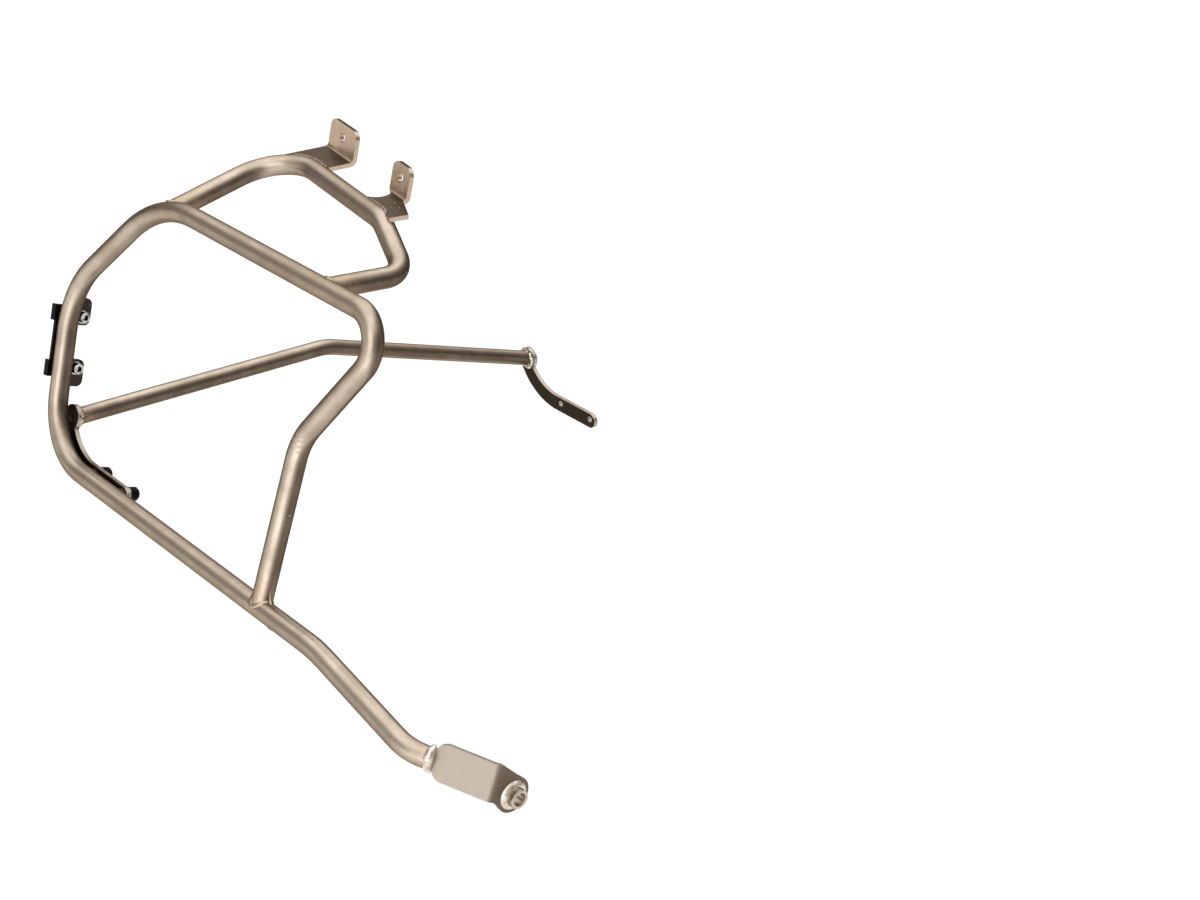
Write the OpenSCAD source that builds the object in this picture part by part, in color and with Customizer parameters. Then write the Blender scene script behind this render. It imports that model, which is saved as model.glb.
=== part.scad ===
/* [Tubes] */
// Outer diameter of the main tube and of the arm
tube_d = 18; // [14:0.5:22]
// Wall of the main tube and of the arm
tube_wall = 2; // [1.2:0.1:3]
// Outer diameter of the crossbar
cross_d = 16; // [12:0.5:20]
// Wall of the crossbar
cross_wall = 2; // [1.2:0.1:3]
// Lean of the ring, its top towards the vehicle
lean = 9; // [0:0.5:15]

/* [Ring] */
// Rear member, height from the lower corner to the shoulder corner
shoulder_h = 151.5; // [140:0.5:165]
// Rear member, how far the shoulder corner lies behind the lower corner
rear_rake = 23; // [10:0.5:35]
// Height from the lower bar to the top bar at the back
ring_h = 265.4; // [250:0.2:285]
// Run of the slope from the shoulder corner to the top corner
slope_run = 107.5; // [100:0.5:120]
// Length of the top bar between its corners
top_len = 345.5; // [330:0.5:365]
// Fall of the top bar towards the front
top_fall = 3.1; // [0:0.1:10]
// Front leg, distance of its foot from the lower rear corner
leg_x = 349; // [335:0.5:360]
// Front leg, height of its knee above the lower rear corner
knee_h = 141.3; // [125:0.1:155]
// Lower bar, length to the strut corner
low_len = 428; // [415:0.5:445]
// Lower bar, fall along that length
low_fall = 5.1; // [0:0.1:10]
// Front strut, its run along the bar's direction
strut_run = 129.5; // [115:0.5:145]
// Front strut, its drop
strut_drop = 23.1; // [15:0.1:35]
// Front strut, how far its flat end turns inwards
toe_in = 27.4; // [20:0.1:35]
// Bend radius of the lower rear corner
r_low = 65; // [55:1:72]
// Bend radius of the shoulder corner
r_shoulder = 78; // [60:1:85]
// Bend radius of the top corner
r_top = 120; // [100:1:130]
// Bend radius of the front top corner
r_nose = 28; // [26:1:40]
// Bend radius of the knee
r_knee = 52; // [40:1:80]
// Bend radius of the strut corner
r_strut = 150; // [100:1:200]
// Bend radius of the strut end
r_end = 50; // [40:1:60]

/* [Arm] */
// Rear foot of the arm, its place along the top bar from the top corner
arm_foot = 16.2; // [5:0.2:30]
// Front foot of the arm, its distance in front of the rear foot
arm_span = 230.2; // [215:0.2:240]
// Reach of the arm's rear corner from the ring's plane
arm_reach = 107.7; // [95:0.1:120]
// Rise of the arm's rear corner above the top bar
arm_rise = 67; // [55:0.5:80]
// Run of the arm's base from its rear corner to its front corner
base_run = 176.3; // [165:0.1:185]
// How far the base closes in towards the ring
base_toe = 22.9; // [10:0.1:35]
// Dip of the base towards its front corner
base_dip = 14.1; // [5:0.1:25]
// Drop from the base's front corner to the arm's lower corner
nose_drop = 30.7; // [20:0.1:40]
// How far that stretch closes in towards the ring
nose_toe = 7.6; // [0:0.1:20]
// Bend radius of the arm's rear corner
r_arm_rear = 45; // [38:1:50]
// Bend radius of the base's front corner
r_arm_front = 40; // [30:1:50]
// Bend radius of the arm's lower corner
r_arm_low = 25; // [24:0.5:28]

/* [Upper mount] */
// Thickness of the ears
up_t = 4; // [3:0.5:6]
// Height of the ears' lower face over the arm's axis
up_off = 3; // [0:0.5:4.5]
// Rise of the ears towards the vehicle, from the horizontal
up_rise = 12; // [5:0.5:20]
// Distance from the arm's axis to the fold of the ears
up_fold = 27; // [24:0.5:32]
// Inner radius of the folds
up_bend = 3.5; // [2:0.5:6]
// Rear ear, its rear edge from the arm's rear corner
ear_back = 20; // [12:0.5:28]
// Rear ear, its width
ear_w = 48; // [40:0.5:54]
// Front ear, distance of its front edge from the arm's rear corner
ear_front = 192; // [186:0.5:196]
// Front ear, width of its folded flange
flange_w = 30; // [24:0.5:34]
// Distance from the rear ear to the flange of the front ear
slot_len = 68; // [60:0.5:72]
// Front ear, radius of the hollow in its rear edge
slot_r = 12.5; // [10:0.5:14]
// Front ear, lower end of that hollow, from the arm's axis
slot_edge = 5; // [3:0.5:8]
// Height of the flanges over the fold
flange_h = 24; // [20:0.5:32]
// Diameter of the upper mounting holes
up_hole_d = 8.5; // [6:0.1:10]

/* [Lower plate] */
// Thickness of the lower mounting plate
low_t = 4; // [3:0.5:6]
// Width of the lower mounting plate
low_w = 31; // [28:0.2:38]
// Start of the plate from the strut's end corner
low_start = 22.5; // [16:0.5:24]
// Straight length of the plate, to its fold
low_run = 48; // [40:0.5:60]
// How far the plate's middle lies above the strut's axis
low_up = 1.4; // [0:0.1:4]
// Outer face of the plate, from the strut's axis
low_face = 3; // [1:0.5:5]
// Corner radius of the plate's end
low_corner = 11; // [6:0.5:14]
// Inner radius of the fold
low_bend = 3; // [2:0.5:6]
// Bush centre, its distance from the fold
bush_in = 18; // [15:0.5:24]
// Bush centre, its drop below the strut's axis
bush_drop = 9.5; // [6:0.5:12]
// Outer diameter of the bush
bush_d = 16; // [14:0.5:20]
// Diameter of the bush's bore
bore_d = 10.5; // [8:0.1:12]
// Length of the bush in front of the plate
bush_len = 8; // [4:0.5:12]
// Width of the plate round the bush
eye_w = 30; // [26:0.5:34]

/* [Crossbar] */
// Distance between the ring's axis and the middle of the vehicle
half_w = 288; // [270:1:300]
// Rise of the crossbar towards the middle
cross_rise = 8.5; // [0:0.5:12]
// Bend radius in the middle
r_cross = 60; // [50:1:90]
// Place of the crossbar in front of the ring's origin
cross_x = 12.5; // [10:0.5:15]
// Place of the crossbar above the lower rear corner
cross_z = 35.8; // [32:0.2:40]
// Thickness of the end plates
end_t = 4.5; // [3:0.5:6]
// Gap between the ring's tube and the end plate
end_gap = 1; // [0.5:0.1:3]
// Radius of the end plate's round pad
pad_r = 12; // [11:0.5:14]
// Half width of the end plate towards the inside of the ring
end_in = 9; // [8:0.5:10]
// Half width of the end plate towards the outside of the ring
end_out = 7; // [6:0.5:9]
// First screw, its distance from the lower rear corner
screw_x = 62; // [58:0.5:66]
// Distance between the two screws
screw_pitch = 48; // [40:0.5:56]
// Height of the screws above the lower bar's axis
screw_up = 2.5; // [1:0.5:3.5]
// Hole through the end plate under the crossbar
vent_d = 8; // [5:0.5:10]

/* [Lock plate] */
// Length of the lock plate
lock_len = 67; // [62:0.5:72]
// Middle of the lock plate, from the lower rear corner along the member
lock_at = 102.4; // [95:0.2:108]
// Thickness of the lock plate
lock_t = 3.5; // [3:0.5:5]
// Outer edge of the lock plate, from the member's axis
lock_out = 7.5; // [6:0.5:12]
// Inner edge of the lock plate's web, from the member's axis
lock_in = 5; // [3:0.5:8]
// Distance between the lock plate's screws
lock_pitch = 48; // [44:0.5:52]
// Screws, their distance from the member's axis
lock_screw_y = 16; // [15.5:0.5:18]
// Depth of the lips at the outer corners
lip_d = 3; // [2:0.5:6]
// Thickness of the lips
lip_t = 2; // [1.5:0.5:3]
// Length of the lips along the plate
lip_len = 15; // [10:0.5:20]
// Thickness of the welded lugs
lug_t = 4; // [3:0.5:5]
// Edge of the lugs, from the member's axis
lug_edge = 25.5; // [23.5:0.5:27]
// Length of the lugs beyond their screws
lug_far = 17.5; // [10:0.5:18]
// Length of the lugs on the near side of their screws
lug_near = 8; // [7:0.5:10]
// Corner radius of the lugs
lug_r = 6; // [4:0.5:7]

/* [Fasteners] */
// Nominal diameter of all screws
screw_d = 6; // [5:0.5:6.5]
// Head diameter of the lock plate's socket screws
cap_d = 10; // [9:0.5:11]
// Head height of the lock plate's socket screws
cap_h = 6; // [5:0.5:7]
// Socket across flats
socket_af = 5; // [4:0.5:5.5]
// Depth of the sockets
socket_depth = 3; // [2:0.5:4]
// Head diameter of the end plate's domed screws
dome_d = 13; // [11:0.5:14]
// Head height of the domed screws
dome_h = 11; // [6:0.5:13]
// Outer diameter of the washers
washer_d = 12.5; // [11.5:0.5:14]
// Thickness of the washers
washer_t = 1.6; // [1:0.1:2]
// Nut across flats
nut_af = 10; // [9:0.5:11]
// Height of the nuts
nut_h = 5; // [4:0.5:6]
// Clearance of every hole over its screw, across the diameter
hole_play = 0.6; // [0.4:0.1:1]
// Gap at seats that follow a tube
seat = 0.1; // [0.05:0.05:0.3]

/* [Hidden] */
$fn = 64;
eps = 0.01;
lap = 0.5;
fold_lap = 0.3;
foot_trim = 4;
swell = 0.04;
far = 400;
tube_r = tube_d / 2;
cross_r = cross_d / 2;
hole_r = (screw_d + hole_play) / 2;
frame_tint = [0.66, 0.60, 0.54];
plate_tint = [0.76, 0.72, 0.67];
dark_tint = [0.42, 0.37, 0.33];
black_tint = [0.09, 0.09, 0.09];
zinc_tint = [0.72, 0.73, 0.74];

// Corners of the main tube in the ring's own plane, from the foot of the leg round to the strut's end.
low_corner_x = 8;
knee_back = 1.5;
low_z = -52.3;
low_slope = low_fall / low_len;
top_z = low_z + ring_h;
leg_foot = [low_corner_x + leg_x, 0, low_z - leg_x * low_slope];
knee = [low_corner_x + leg_x - knee_back, 0, low_z + knee_h];
shoulder = [low_corner_x - rear_rake, 0, low_z + shoulder_h];
top_corner = shoulder + [slope_run, 0, ring_h - shoulder_h];
nose = top_corner + [top_len, 0, -top_fall];
rear_corner = [low_corner_x, 0, low_z];
strut_corner = rear_corner + [low_len, 0, -low_fall];
end_corner = strut_corner + [strut_run, 0, -strut_drop];
end_dir = [cos(toe_in), sin(toe_in), 0];
end_in_dir = [-sin(toe_in), cos(toe_in), 0];
tube_tail = 25;
tube_end = low_start + tube_tail;
main_path = [leg_foot, knee, nose, top_corner, shoulder, rear_corner, strut_corner, end_corner,
    end_corner + end_dir * tube_end];
main_bends = [r_knee, r_nose, r_top, r_shoulder, r_low, r_strut, r_end];
leg_dir = unit(knee - leg_foot);
leg_bend = tangent(main_path, main_bends, 1) - lap;

// The arm starts and ends on the axis of the top bar.
top_turn = turn(top_corner - shoulder, nose - top_corner);
top_tangent = r_top * tan(top_turn / 2);
top_dir = unit(nose - top_corner);
function top_axis(run) = let(s = top_tangent - run) top_corner + top_dir * run
    - [0, 0, s > 0 ? r_top - sqrt(r_top * r_top - s * s) : 0];
arm_start = top_axis(arm_foot);
arm_end = top_axis(arm_foot + arm_span);
arm_rear = arm_start + [0, arm_reach, arm_rise];
arm_front = arm_rear + [base_run, -base_toe, -base_dip];
arm_low = [arm_end[0], arm_front[1] - nose_toe, arm_front[2] - nose_drop];
arm_path = [arm_start + unit(arm_rear - arm_start) * foot_trim, arm_rear, arm_front, arm_low,
    arm_end + unit(arm_low - arm_end) * foot_trim];
arm_bends = [r_arm_rear, r_arm_front, r_arm_low];

// Fold of the lower plate and centre of its bush, in the ring's plane.
low_fold = end_corner + end_dir * (low_start + low_run) + end_in_dir * (low_t - low_face + low_bend);
flange_x = low_fold[0] + low_bend;
bush_y = low_fold[1] + bush_in;
bush_z = end_corner[2] - bush_drop;
bush_total = low_t + bush_len;
eye_tilt = atan2(bush_drop, bush_in);
low_mid_z = end_corner[2] + low_up;
bush_mid = [flange_x + bush_total / 2, bush_y, bush_z];
ring_origin = -leaned(bush_mid);

// Crossbar, in upright axes from the ring's origin.
end_face = tube_r + end_gap;
end_inner = end_face + end_t;
cross_start = leaned([cross_x, end_inner, low_z + cross_z]);
cross_tail = cross_start - [0, cos(cross_rise), sin(cross_rise)] * tube_d;
cross_top = cross_start + [0, half_w - cross_start[1], (half_w - cross_start[1]) * tan(cross_rise)];
cross_path = [cross_tail, cross_top, [cross_x, 2 * half_w - cross_tail[1], cross_tail[2]]];

// Centre of the bend at the lower rear corner, which the end plate follows.
low_bar_dir = unit(strut_corner - rear_corner);
low_turn = turn(rear_corner - shoulder, strut_corner - rear_corner);
low_tangent = r_low * tan(low_turn / 2);
bend_centre = rear_corner + low_bar_dir * low_tangent + [-low_bar_dir[2], 0, low_bar_dir[0]] * r_low;
bar_tilt = atan2(low_bar_dir[2], low_bar_dir[0]);
boss_wall = 1.7;
boss_r = hole_r + boss_wall;

// Rear member, whose own axes carry the lock plate: x forwards, z up along the member.
member_tilt = atan2(rear_rake, shoulder_h);
lock_face = tube_r + seat;
head_r = dome_d / 2;
dome_ball = head_r + 1;
dome_socket_af = socket_af - 1;

// Axes of the ears: along the arm's base, inwards along the ears, and its normal.
base_dir = unit(arm_front - arm_rear);
ear_tilt = up_rise + lean;
ear_raw = [0, cos(ear_tilt), sin(ear_tilt)];
ear_dir = unit(ear_raw - base_dir * (ear_raw * base_dir));
ear_normal = cross(base_dir, ear_dir);
fold_turn = 90 - up_rise;
arm_rear_turn = turn(arm_rear - arm_start, arm_front - arm_rear);
arm_rear_tangent = r_arm_rear * tan(arm_rear_turn / 2);
slot_mid = ear_back + ear_w + slot_len;
clip_w = 10;
ear_flare = 2;
flange_r = 8;
axis_steps = 12;

function unit(v) = v / norm(v);
function turn(a, b) = acos(unit(a) * unit(b));
function leaned(p) = [p[0], p[1] * cos(lean) + p[2] * sin(lean), p[2] * cos(lean) - p[1] * sin(lean)];
function side_of(d) = unit(cross(abs(d[1]) > 0.9 ? [1, 0, 0] : [0, 1, 0], d));
function tangent(path, bends, i) = i == 0 || i == len(path) - 1 ? 0
    : bends[i - 1] * tan(turn(path[i] - path[i - 1], path[i + 1] - path[i]) / 2);
function arm_edge(s) = s >= arm_rear_tangent ? 0
    : sqrt(max(0, pow(r_arm_rear, 2) - pow(arm_rear_tangent - s, 2))) - r_arm_rear;

// Places children with their x, y and z along three given directions.
module axes(at, x, y, z) {
    multmatrix([[x[0], y[0], z[0], at[0]], [x[1], y[1], z[1], at[1]], [x[2], y[2], z[2], at[2]], [0, 0, 0, 1]])
        children();
}

// Section of a tube, solid where its wall is nought.
module section(r, wall) {
    difference() {
        circle(r);
        if (wall > 0) circle(r - wall);
    }
}

// A straight tube between two points.
module straight_tube(a, b, r, wall) {
    d = unit(b - a);
    side = side_of(d);
    axes(a, side, cross(d, side), d) linear_extrude(norm(b - a)) section(r, wall);
}

// A tube along a path of corners, each inner corner bent to its radius. The straights lap into the bends,
// which are swollen by a hair. Straights before the first one asked for are left out.
module bent_tube(path, bends, r, wall, first = 0) {
    last = len(path) - 2;
    for (i = [first:last]) {
        d = unit(path[i + 1] - path[i]);
        from = tangent(path, bends, i) - (i > 0 ? lap : 0);
        to = tangent(path, bends, i + 1) - (i < last ? lap : 0);
        straight_tube(path[i] + d * from, path[i + 1] - d * to, r, wall);
    }
    for (i = [1:last]) {
        u = unit(path[i] - path[i - 1]);
        v = unit(path[i + 1] - path[i]);
        k = unit(cross(u, v));
        start = path[i] - u * tangent(path, bends, i);
        inward = cross(k, u);
        axes(start + inward * bends[i - 1], -inward, u, k) rotate_extrude(angle = turn(u, v))
            translate([bends[i - 1], 0]) section(r + swell, wall > 0 ? wall + 2 * swell : 0);
    }
}

// The ring's own axes, leaned over.
module in_ring() {
    translate(ring_origin) rotate([-lean, 0, 0]) children();
}

// Upright axes from the ring's origin.
module upright() {
    translate(ring_origin) children();
}

// The other side of the vehicle's middle plane.
module other_side() {
    translate([0, 2 * half_w, 0]) mirror([0, 1, 0]) children();
}

// Axes of the rear member, with the origin on its lower corner.
module on_member(z) {
    translate(rear_corner) rotate([0, -member_tilt, 0]) translate([0, 0, z]) children();
}

// Solid rounds of the ring that its welded neighbours are cut to.
module top_round() {
    bent_tube([shoulder, top_corner, nose], [r_top], tube_r + seat, 0);
}

module member_round() {
    bent_tube([top_corner, shoulder, rear_corner, strut_corner], [r_shoulder, r_low], tube_r + seat, 0);
}

module bar_round() {
    straight_tube(rear_corner, strut_corner, tube_r + seat, 0);
}

// Axis of one end plate screw, pointing from the ring towards the vehicle.
module at_plate_screw(i) {
    translate(rear_corner + low_bar_dir * (screw_x + i * screw_pitch) + [0, 0, screw_up]) rotate([-90, 0, 0]) children();
}

// Axis of one lock screw, pointing forwards from the lugs' rear face.
module at_lock_screw(s) {
    on_member(lock_at + s * lock_pitch / 2) translate([-lock_face, lock_screw_y, 0]) rotate([0, 90, 0]) children();
}

module main_tube() {
    color(frame_tint) in_ring() difference() {
        union() {
            bent_tube(main_path, main_bends, tube_r, tube_wall, 1);
            // leg, its foot cut to the lower bar's round
            difference() {
                straight_tube(leg_foot + leg_dir * foot_trim, knee - leg_dir * leg_bend, tube_r, tube_wall);
                bar_round();
            }
        }
        // flat that the lower plate lies on
        axes(end_corner + end_dir * (low_start - seat), end_dir, end_in_dir, [0, 0, 1])
            translate([0, low_t - low_face - far, -tube_d]) cube([far, far, 2 * tube_d]);
        for (i = [0, 1]) at_plate_screw(i) cylinder(h = tube_r + eps, r = hole_r);
    }
}

module arm_tube() {
    color(frame_tint) in_ring() difference() {
        bent_tube(arm_path, arm_bends, tube_r, tube_wall);
        top_round();
    }
}

// Band of a fold round its centre, starting downwards, swollen by a hair so that its sheets lap into it.
module fold_band(bend, thick, turned) {
    intersection() {
        section(bend + thick + swell, thick + 2 * swell);
        polygon([[0, 0], [0, -far], far * [sin(turned), -cos(turned)]]);
    }
}

// Outline of the rear ear, along the arm's base and inwards from the arm's axis.
module rear_ear_outline() {
    polygon(concat(
        [for (i = [0:axis_steps]) let(s = ear_back + (arm_rear_tangent - ear_back) * i / axis_steps) [s, arm_edge(s)]],
        [[ear_back + ear_w, 0], [ear_back + ear_w, far], [ear_back, far]]));
}

// Outline of the front ear, hollowed towards the rear and clipped at its front corner.
module front_ear_outline() {
    difference() {
        polygon([[slot_mid, 0], [ear_front, 0], [ear_front + ear_flare, up_fold - clip_w],
            [slot_mid + flange_w, up_fold], [slot_mid + flange_w, far], [slot_mid, far]]);
        translate([slot_mid, slot_edge + slot_r]) circle(slot_r);
    }
}

// Upright flange beyond a fold, from its lap in the fold to its two rounded corners.
module flange_outline(width) {
    translate([swell, -fold_lap]) square([width - 2 * swell, fold_lap + flange_h - flange_r]);
    translate([flange_r, 0]) square([width - 2 * flange_r, flange_h]);
    for (x = [flange_r + swell, width - flange_r - swell]) translate([x, flange_h - flange_r]) circle(flange_r);
}

// An ear of the upper mount, with the outline that is given: its sheet, its fold and its upright flange.
module mount_ear(from, width) {
    color(dark_tint) in_ring() difference() {
        axes(arm_rear + ear_normal * up_off, base_dir, ear_dir, ear_normal) {
            intersection() {
                rotate([90, 0, 90]) linear_extrude(far) {
                    translate([-2 * tube_d, 0]) square([2 * tube_d + up_fold + fold_lap, up_t]);
                    translate([up_fold, up_t + up_bend]) fold_band(up_bend, up_t, fold_turn);
                }
                translate([0, 0, -up_t]) linear_extrude(far) children();
            }
            translate([from, up_fold, up_t + up_bend]) rotate([fold_turn, 0, 0]) translate([0, 0, -up_t - up_bend])
                linear_extrude(up_t) difference() {
                    flange_outline(width);
                    translate([width / 2, flange_h / 2]) circle(d = up_hole_d);
                }
        }
        bent_tube(arm_path, arm_bends, tube_r + seat, 0);
    }
}

// Strip on the strut's flat, its fold, and its flange across the bush.
module lower_mount_plate() {
    color(plate_tint) in_ring() difference() {
        union() {
            translate([low_fold[0], low_fold[1], low_mid_z - low_w / 2]) rotate([0, 0, toe_in])
                linear_extrude(low_w) fold_band(low_bend, low_t, 90 - toe_in);
            axes([low_fold[0], low_fold[1], low_mid_z] - end_in_dir * low_bend, end_dir, [0, 0, 1], -end_in_dir)
                linear_extrude(low_t) strip_outline();
            translate([flange_x, low_fold[1], 0]) rotate([90, 0, 90]) linear_extrude(low_t) bush_outline();
        }
        translate([flange_x - eps, bush_y, bush_z]) rotate([0, 90, 0]) cylinder(h = low_t + 2 * eps, d = bush_d + seat);
    }
}

// Outline of the lower plate's strip, from its lap in the fold back to its two rounded corners.
module strip_outline() {
    half = low_w / 2 - swell;
    translate([low_corner - low_run, -half]) square([low_run - low_corner + fold_lap, 2 * half]);
    translate([-low_run, low_corner - half]) square([low_run, 2 * (half - low_corner)]);
    for (m = [-1, 1]) translate([low_corner - low_run, m * (half - low_corner)]) circle(low_corner);
}

// Outline of the lower plate's flange, from its lap in the fold down to the eye.
module bush_outline() {
    half = low_w / 2 - swell;
    eye = [bush_in, bush_z];
    side = (eye_w / 2 - lap) * [sin(eye_tilt), cos(eye_tilt)];
    translate(eye) circle(d = eye_w);
    polygon([[-fold_lap, low_mid_z - half], eye - side, eye + side, [-fold_lap, low_mid_z + half]]);
}

module lower_bush() {
    color(plate_tint) in_ring() translate([flange_x, bush_y, bush_z]) rotate([0, 90, 0]) difference() {
        cylinder(h = bush_total, d = bush_d);
        translate([0, 0, -eps]) cylinder(h = bush_total + 2 * eps, d = bore_d);
    }
}

module crossbar_tube() {
    color(frame_tint) difference() {
        upright() bent_tube(cross_path, [r_cross], cross_r, cross_wall);
        cross_stop();
        upright() other_side() translate(-ring_origin) cross_stop();
    }
}

// Block that ends the crossbar at the inner face of an end plate.
module cross_stop() {
    in_ring() translate([cross_x - tube_d, end_inner - 3 * tube_d, low_z + cross_z - 2 * tube_d])
        cube([2 * tube_d, 3 * tube_d, 4 * tube_d]);
}

// Outline of an end plate in the ring's plane: a pad, a band round the bend and a strip along the bar.
module end_outline() {
    c = [bend_centre[0], bend_centre[2]];
    difference() {
        union() {
            translate([cross_x, low_z + cross_z]) circle(pad_r);
            intersection() {
                translate(c) difference() {
                    circle(r_low + end_out);
                    circle(r_low - end_in);
                }
                polygon([c, c + far * [cos(bar_tilt - 90), sin(bar_tilt - 90)],
                    c - [far, far], [cross_x - far, low_z + cross_z], [cross_x, low_z + cross_z]]);
            }
            translate([rear_corner[0], rear_corner[2]]) rotate(bar_tilt) {
                translate([low_tangent - lap, -end_out - swell])
                    square([screw_x + screw_pitch - low_tangent + lap, end_out + end_in + 2 * swell]);
                translate([screw_x + screw_pitch, (end_in - end_out) / 2]) circle((end_in + end_out) / 2);
            }
        }
        translate([cross_x, low_z + cross_z]) circle(d = vent_d);
        translate([rear_corner[0], rear_corner[2]]) for (i = [0, 1])
            rotate(bar_tilt) translate([screw_x + i * screw_pitch, screw_up]) circle(hole_r);
    }
}

module end_plate() {
    in_ring() translate([0, end_inner, 0]) rotate([90, 0, 0]) linear_extrude(end_t) end_outline();
}

module near_end_plate() {
    color(frame_tint) end_plate();
}

module far_end_plate() {
    color(frame_tint) upright() other_side() translate(-ring_origin) end_plate();
}

// Threaded boss between the ring's tube and the near end plate.
module boss(i) {
    color(frame_tint) in_ring() difference() {
        at_plate_screw(i) difference() {
            cylinder(h = end_face, r = boss_r);
            translate([0, 0, -eps]) cylinder(h = end_face + 2 * eps, r = hole_r);
        }
        bar_round();
    }
}

module plate_washer(i) {
    color(zinc_tint) in_ring() at_plate_screw(i) translate([0, 0, end_inner]) difference() {
        cylinder(h = washer_t, d = washer_d);
        translate([0, 0, -eps]) cylinder(h = washer_t + 2 * eps, r = hole_r);
    }
}

// Domed screw, from inside the tube's wall to its head on the washer.
module plate_screw(i) {
    color(black_tint) in_ring() at_plate_screw(i) {
        translate([0, 0, tube_r - 2 * tube_wall]) cylinder(h = end_inner + washer_t + eps - tube_r + 2 * tube_wall, d = screw_d);
        translate([0, 0, end_inner + washer_t]) difference() {
            rotate_extrude() intersection() {
                square([head_r, dome_h]);
                translate([0, dome_h - dome_ball]) circle(dome_ball);
            }
            translate([0, 0, dome_h - socket_depth]) cylinder(h = socket_depth + eps, r = dome_socket_af / sqrt(3), $fn = 6);
        }
    }
}

module lock_plate() {
    color(black_tint) in_ring() difference() {
        on_member(lock_at) {
            translate([-lock_face - lock_t, 0, 0]) rotate([90, 0, 90]) linear_extrude(lock_t) difference() {
                union() {
                    translate([-lock_out, -lock_len / 2]) square([lock_out + lock_in, lock_len]);
                    for (s = [-1, 1]) translate([0, s * lock_pitch / 2]) {
                        translate([0, -lug_near]) square([lock_screw_y, 2 * lug_near]);
                        translate([lock_screw_y, 0]) circle(lug_near);
                    }
                }
                for (s = [-1, 1]) translate([lock_screw_y, s * lock_pitch / 2]) circle(hole_r);
            }
            for (m = [0, 1]) mirror([0, 0, m])
                translate([-lock_face - lock_t - lip_d, -lock_out - lip_t, lock_len / 2 - lip_len])
                    cube([lip_d + lock_t, lip_t + eps, lip_len]);
        }
    }
}

// Lug welded to the member, drawn for the upper screw and mirrored for the lower one.
module lock_lug(s) {
    color(frame_tint) in_ring() difference() {
        on_member(lock_at + s * lock_pitch / 2) translate([-lock_face, 0, 0]) mirror([0, 0, s < 0 ? 1 : 0])
            rotate([90, 0, 90]) linear_extrude(lug_t) difference() {
                union() {
                    translate([0, -lug_near]) square([lug_edge - lug_r, lug_near + lug_far]);
                    translate([0, lug_r - lug_near]) square([lug_edge, lug_near + lug_far - 2 * lug_r]);
                    for (z = [lug_r - lug_near, lug_far - lug_r]) translate([lug_edge - lug_r, z]) circle(lug_r);
                }
                translate([lock_screw_y, 0]) circle(hole_r);
            }
        member_round();
    }
}

module lock_washer(s) {
    color(zinc_tint) in_ring() at_lock_screw(s) translate([0, 0, lug_t]) difference() {
        cylinder(h = washer_t, d = washer_d);
        translate([0, 0, -eps]) cylinder(h = washer_t + 2 * eps, r = hole_r);
    }
}

// Socket screw through washer, lug and lock plate, with its head forwards.
module lock_screw(s) {
    color(zinc_tint) in_ring() at_lock_screw(s) {
        translate([0, 0, -lock_t - nut_h - 1]) cylinder(h = lug_t + washer_t + lock_t + nut_h + 1 + eps, d = screw_d);
        translate([0, 0, lug_t + washer_t]) difference() {
            cylinder(h = cap_h, d = cap_d);
            translate([0, 0, cap_h - socket_depth]) cylinder(h = socket_depth + eps, r = socket_af / sqrt(3), $fn = 6);
        }
    }
}

module lock_nut(s) {
    color(zinc_tint) in_ring() at_lock_screw(s) translate([0, 0, -lock_t - nut_h]) difference() {
        cylinder(h = nut_h, r = nut_af / sqrt(3), $fn = 6);
        translate([0, 0, -eps]) cylinder(h = nut_h + 2 * eps, d = screw_d + seat);
    }
}

main_tube();
arm_tube();
mount_ear(ear_back, ear_w) rear_ear_outline();  // rear_mount_ear
mount_ear(slot_mid, flange_w) front_ear_outline();  // front_mount_ear
lower_mount_plate();
lower_bush();
crossbar_tube();
near_end_plate();
far_end_plate();
boss(0);  // rear_boss
boss(1);  // front_boss
plate_washer(0);  // rear_plate_washer
plate_washer(1);  // front_plate_washer
plate_screw(0);  // rear_plate_screw
plate_screw(1);  // front_plate_screw
lock_plate();
lock_lug(1);  // upper_lock_lug
lock_lug(-1);  // lower_lock_lug
lock_washer(1);  // upper_lock_washer
lock_washer(-1);  // lower_lock_washer
lock_screw(1);  // upper_lock_screw
lock_screw(-1);  // lower_lock_screw
lock_nut(1);  // upper_lock_nut
lock_nut(-1);  // lower_lock_nut
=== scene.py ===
import logging
import math
import random
from dataclasses import dataclass, field
from enum import Enum
from typing import ClassVar, Iterable, Iterator, Optional, Sequence

import bmesh
import bpy
from mathutils import Matrix, Vector, noise
from mathutils.bvhtree import BVHTree


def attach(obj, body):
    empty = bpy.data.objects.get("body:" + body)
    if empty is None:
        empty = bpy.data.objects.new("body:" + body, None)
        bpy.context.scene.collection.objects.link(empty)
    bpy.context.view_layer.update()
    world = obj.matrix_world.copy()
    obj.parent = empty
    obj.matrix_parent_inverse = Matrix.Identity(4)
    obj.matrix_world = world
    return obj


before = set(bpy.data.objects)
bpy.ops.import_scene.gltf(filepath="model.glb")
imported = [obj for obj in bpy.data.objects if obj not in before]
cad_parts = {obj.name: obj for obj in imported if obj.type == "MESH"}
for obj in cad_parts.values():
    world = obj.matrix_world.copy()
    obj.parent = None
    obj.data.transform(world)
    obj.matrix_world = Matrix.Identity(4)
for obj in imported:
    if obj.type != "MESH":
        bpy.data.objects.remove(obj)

LOG = logging.getLogger("pannier_frame")
MM = 0.001
SCRATCH_DEPTH = 0.00003
SEAM_LIFT = 0.0002
Triple = tuple[float, float, float]
Colour = Triple
Hit = Optional[tuple[Vector, Vector]]
Heat = tuple[tuple[Vector, float], ...]


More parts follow.
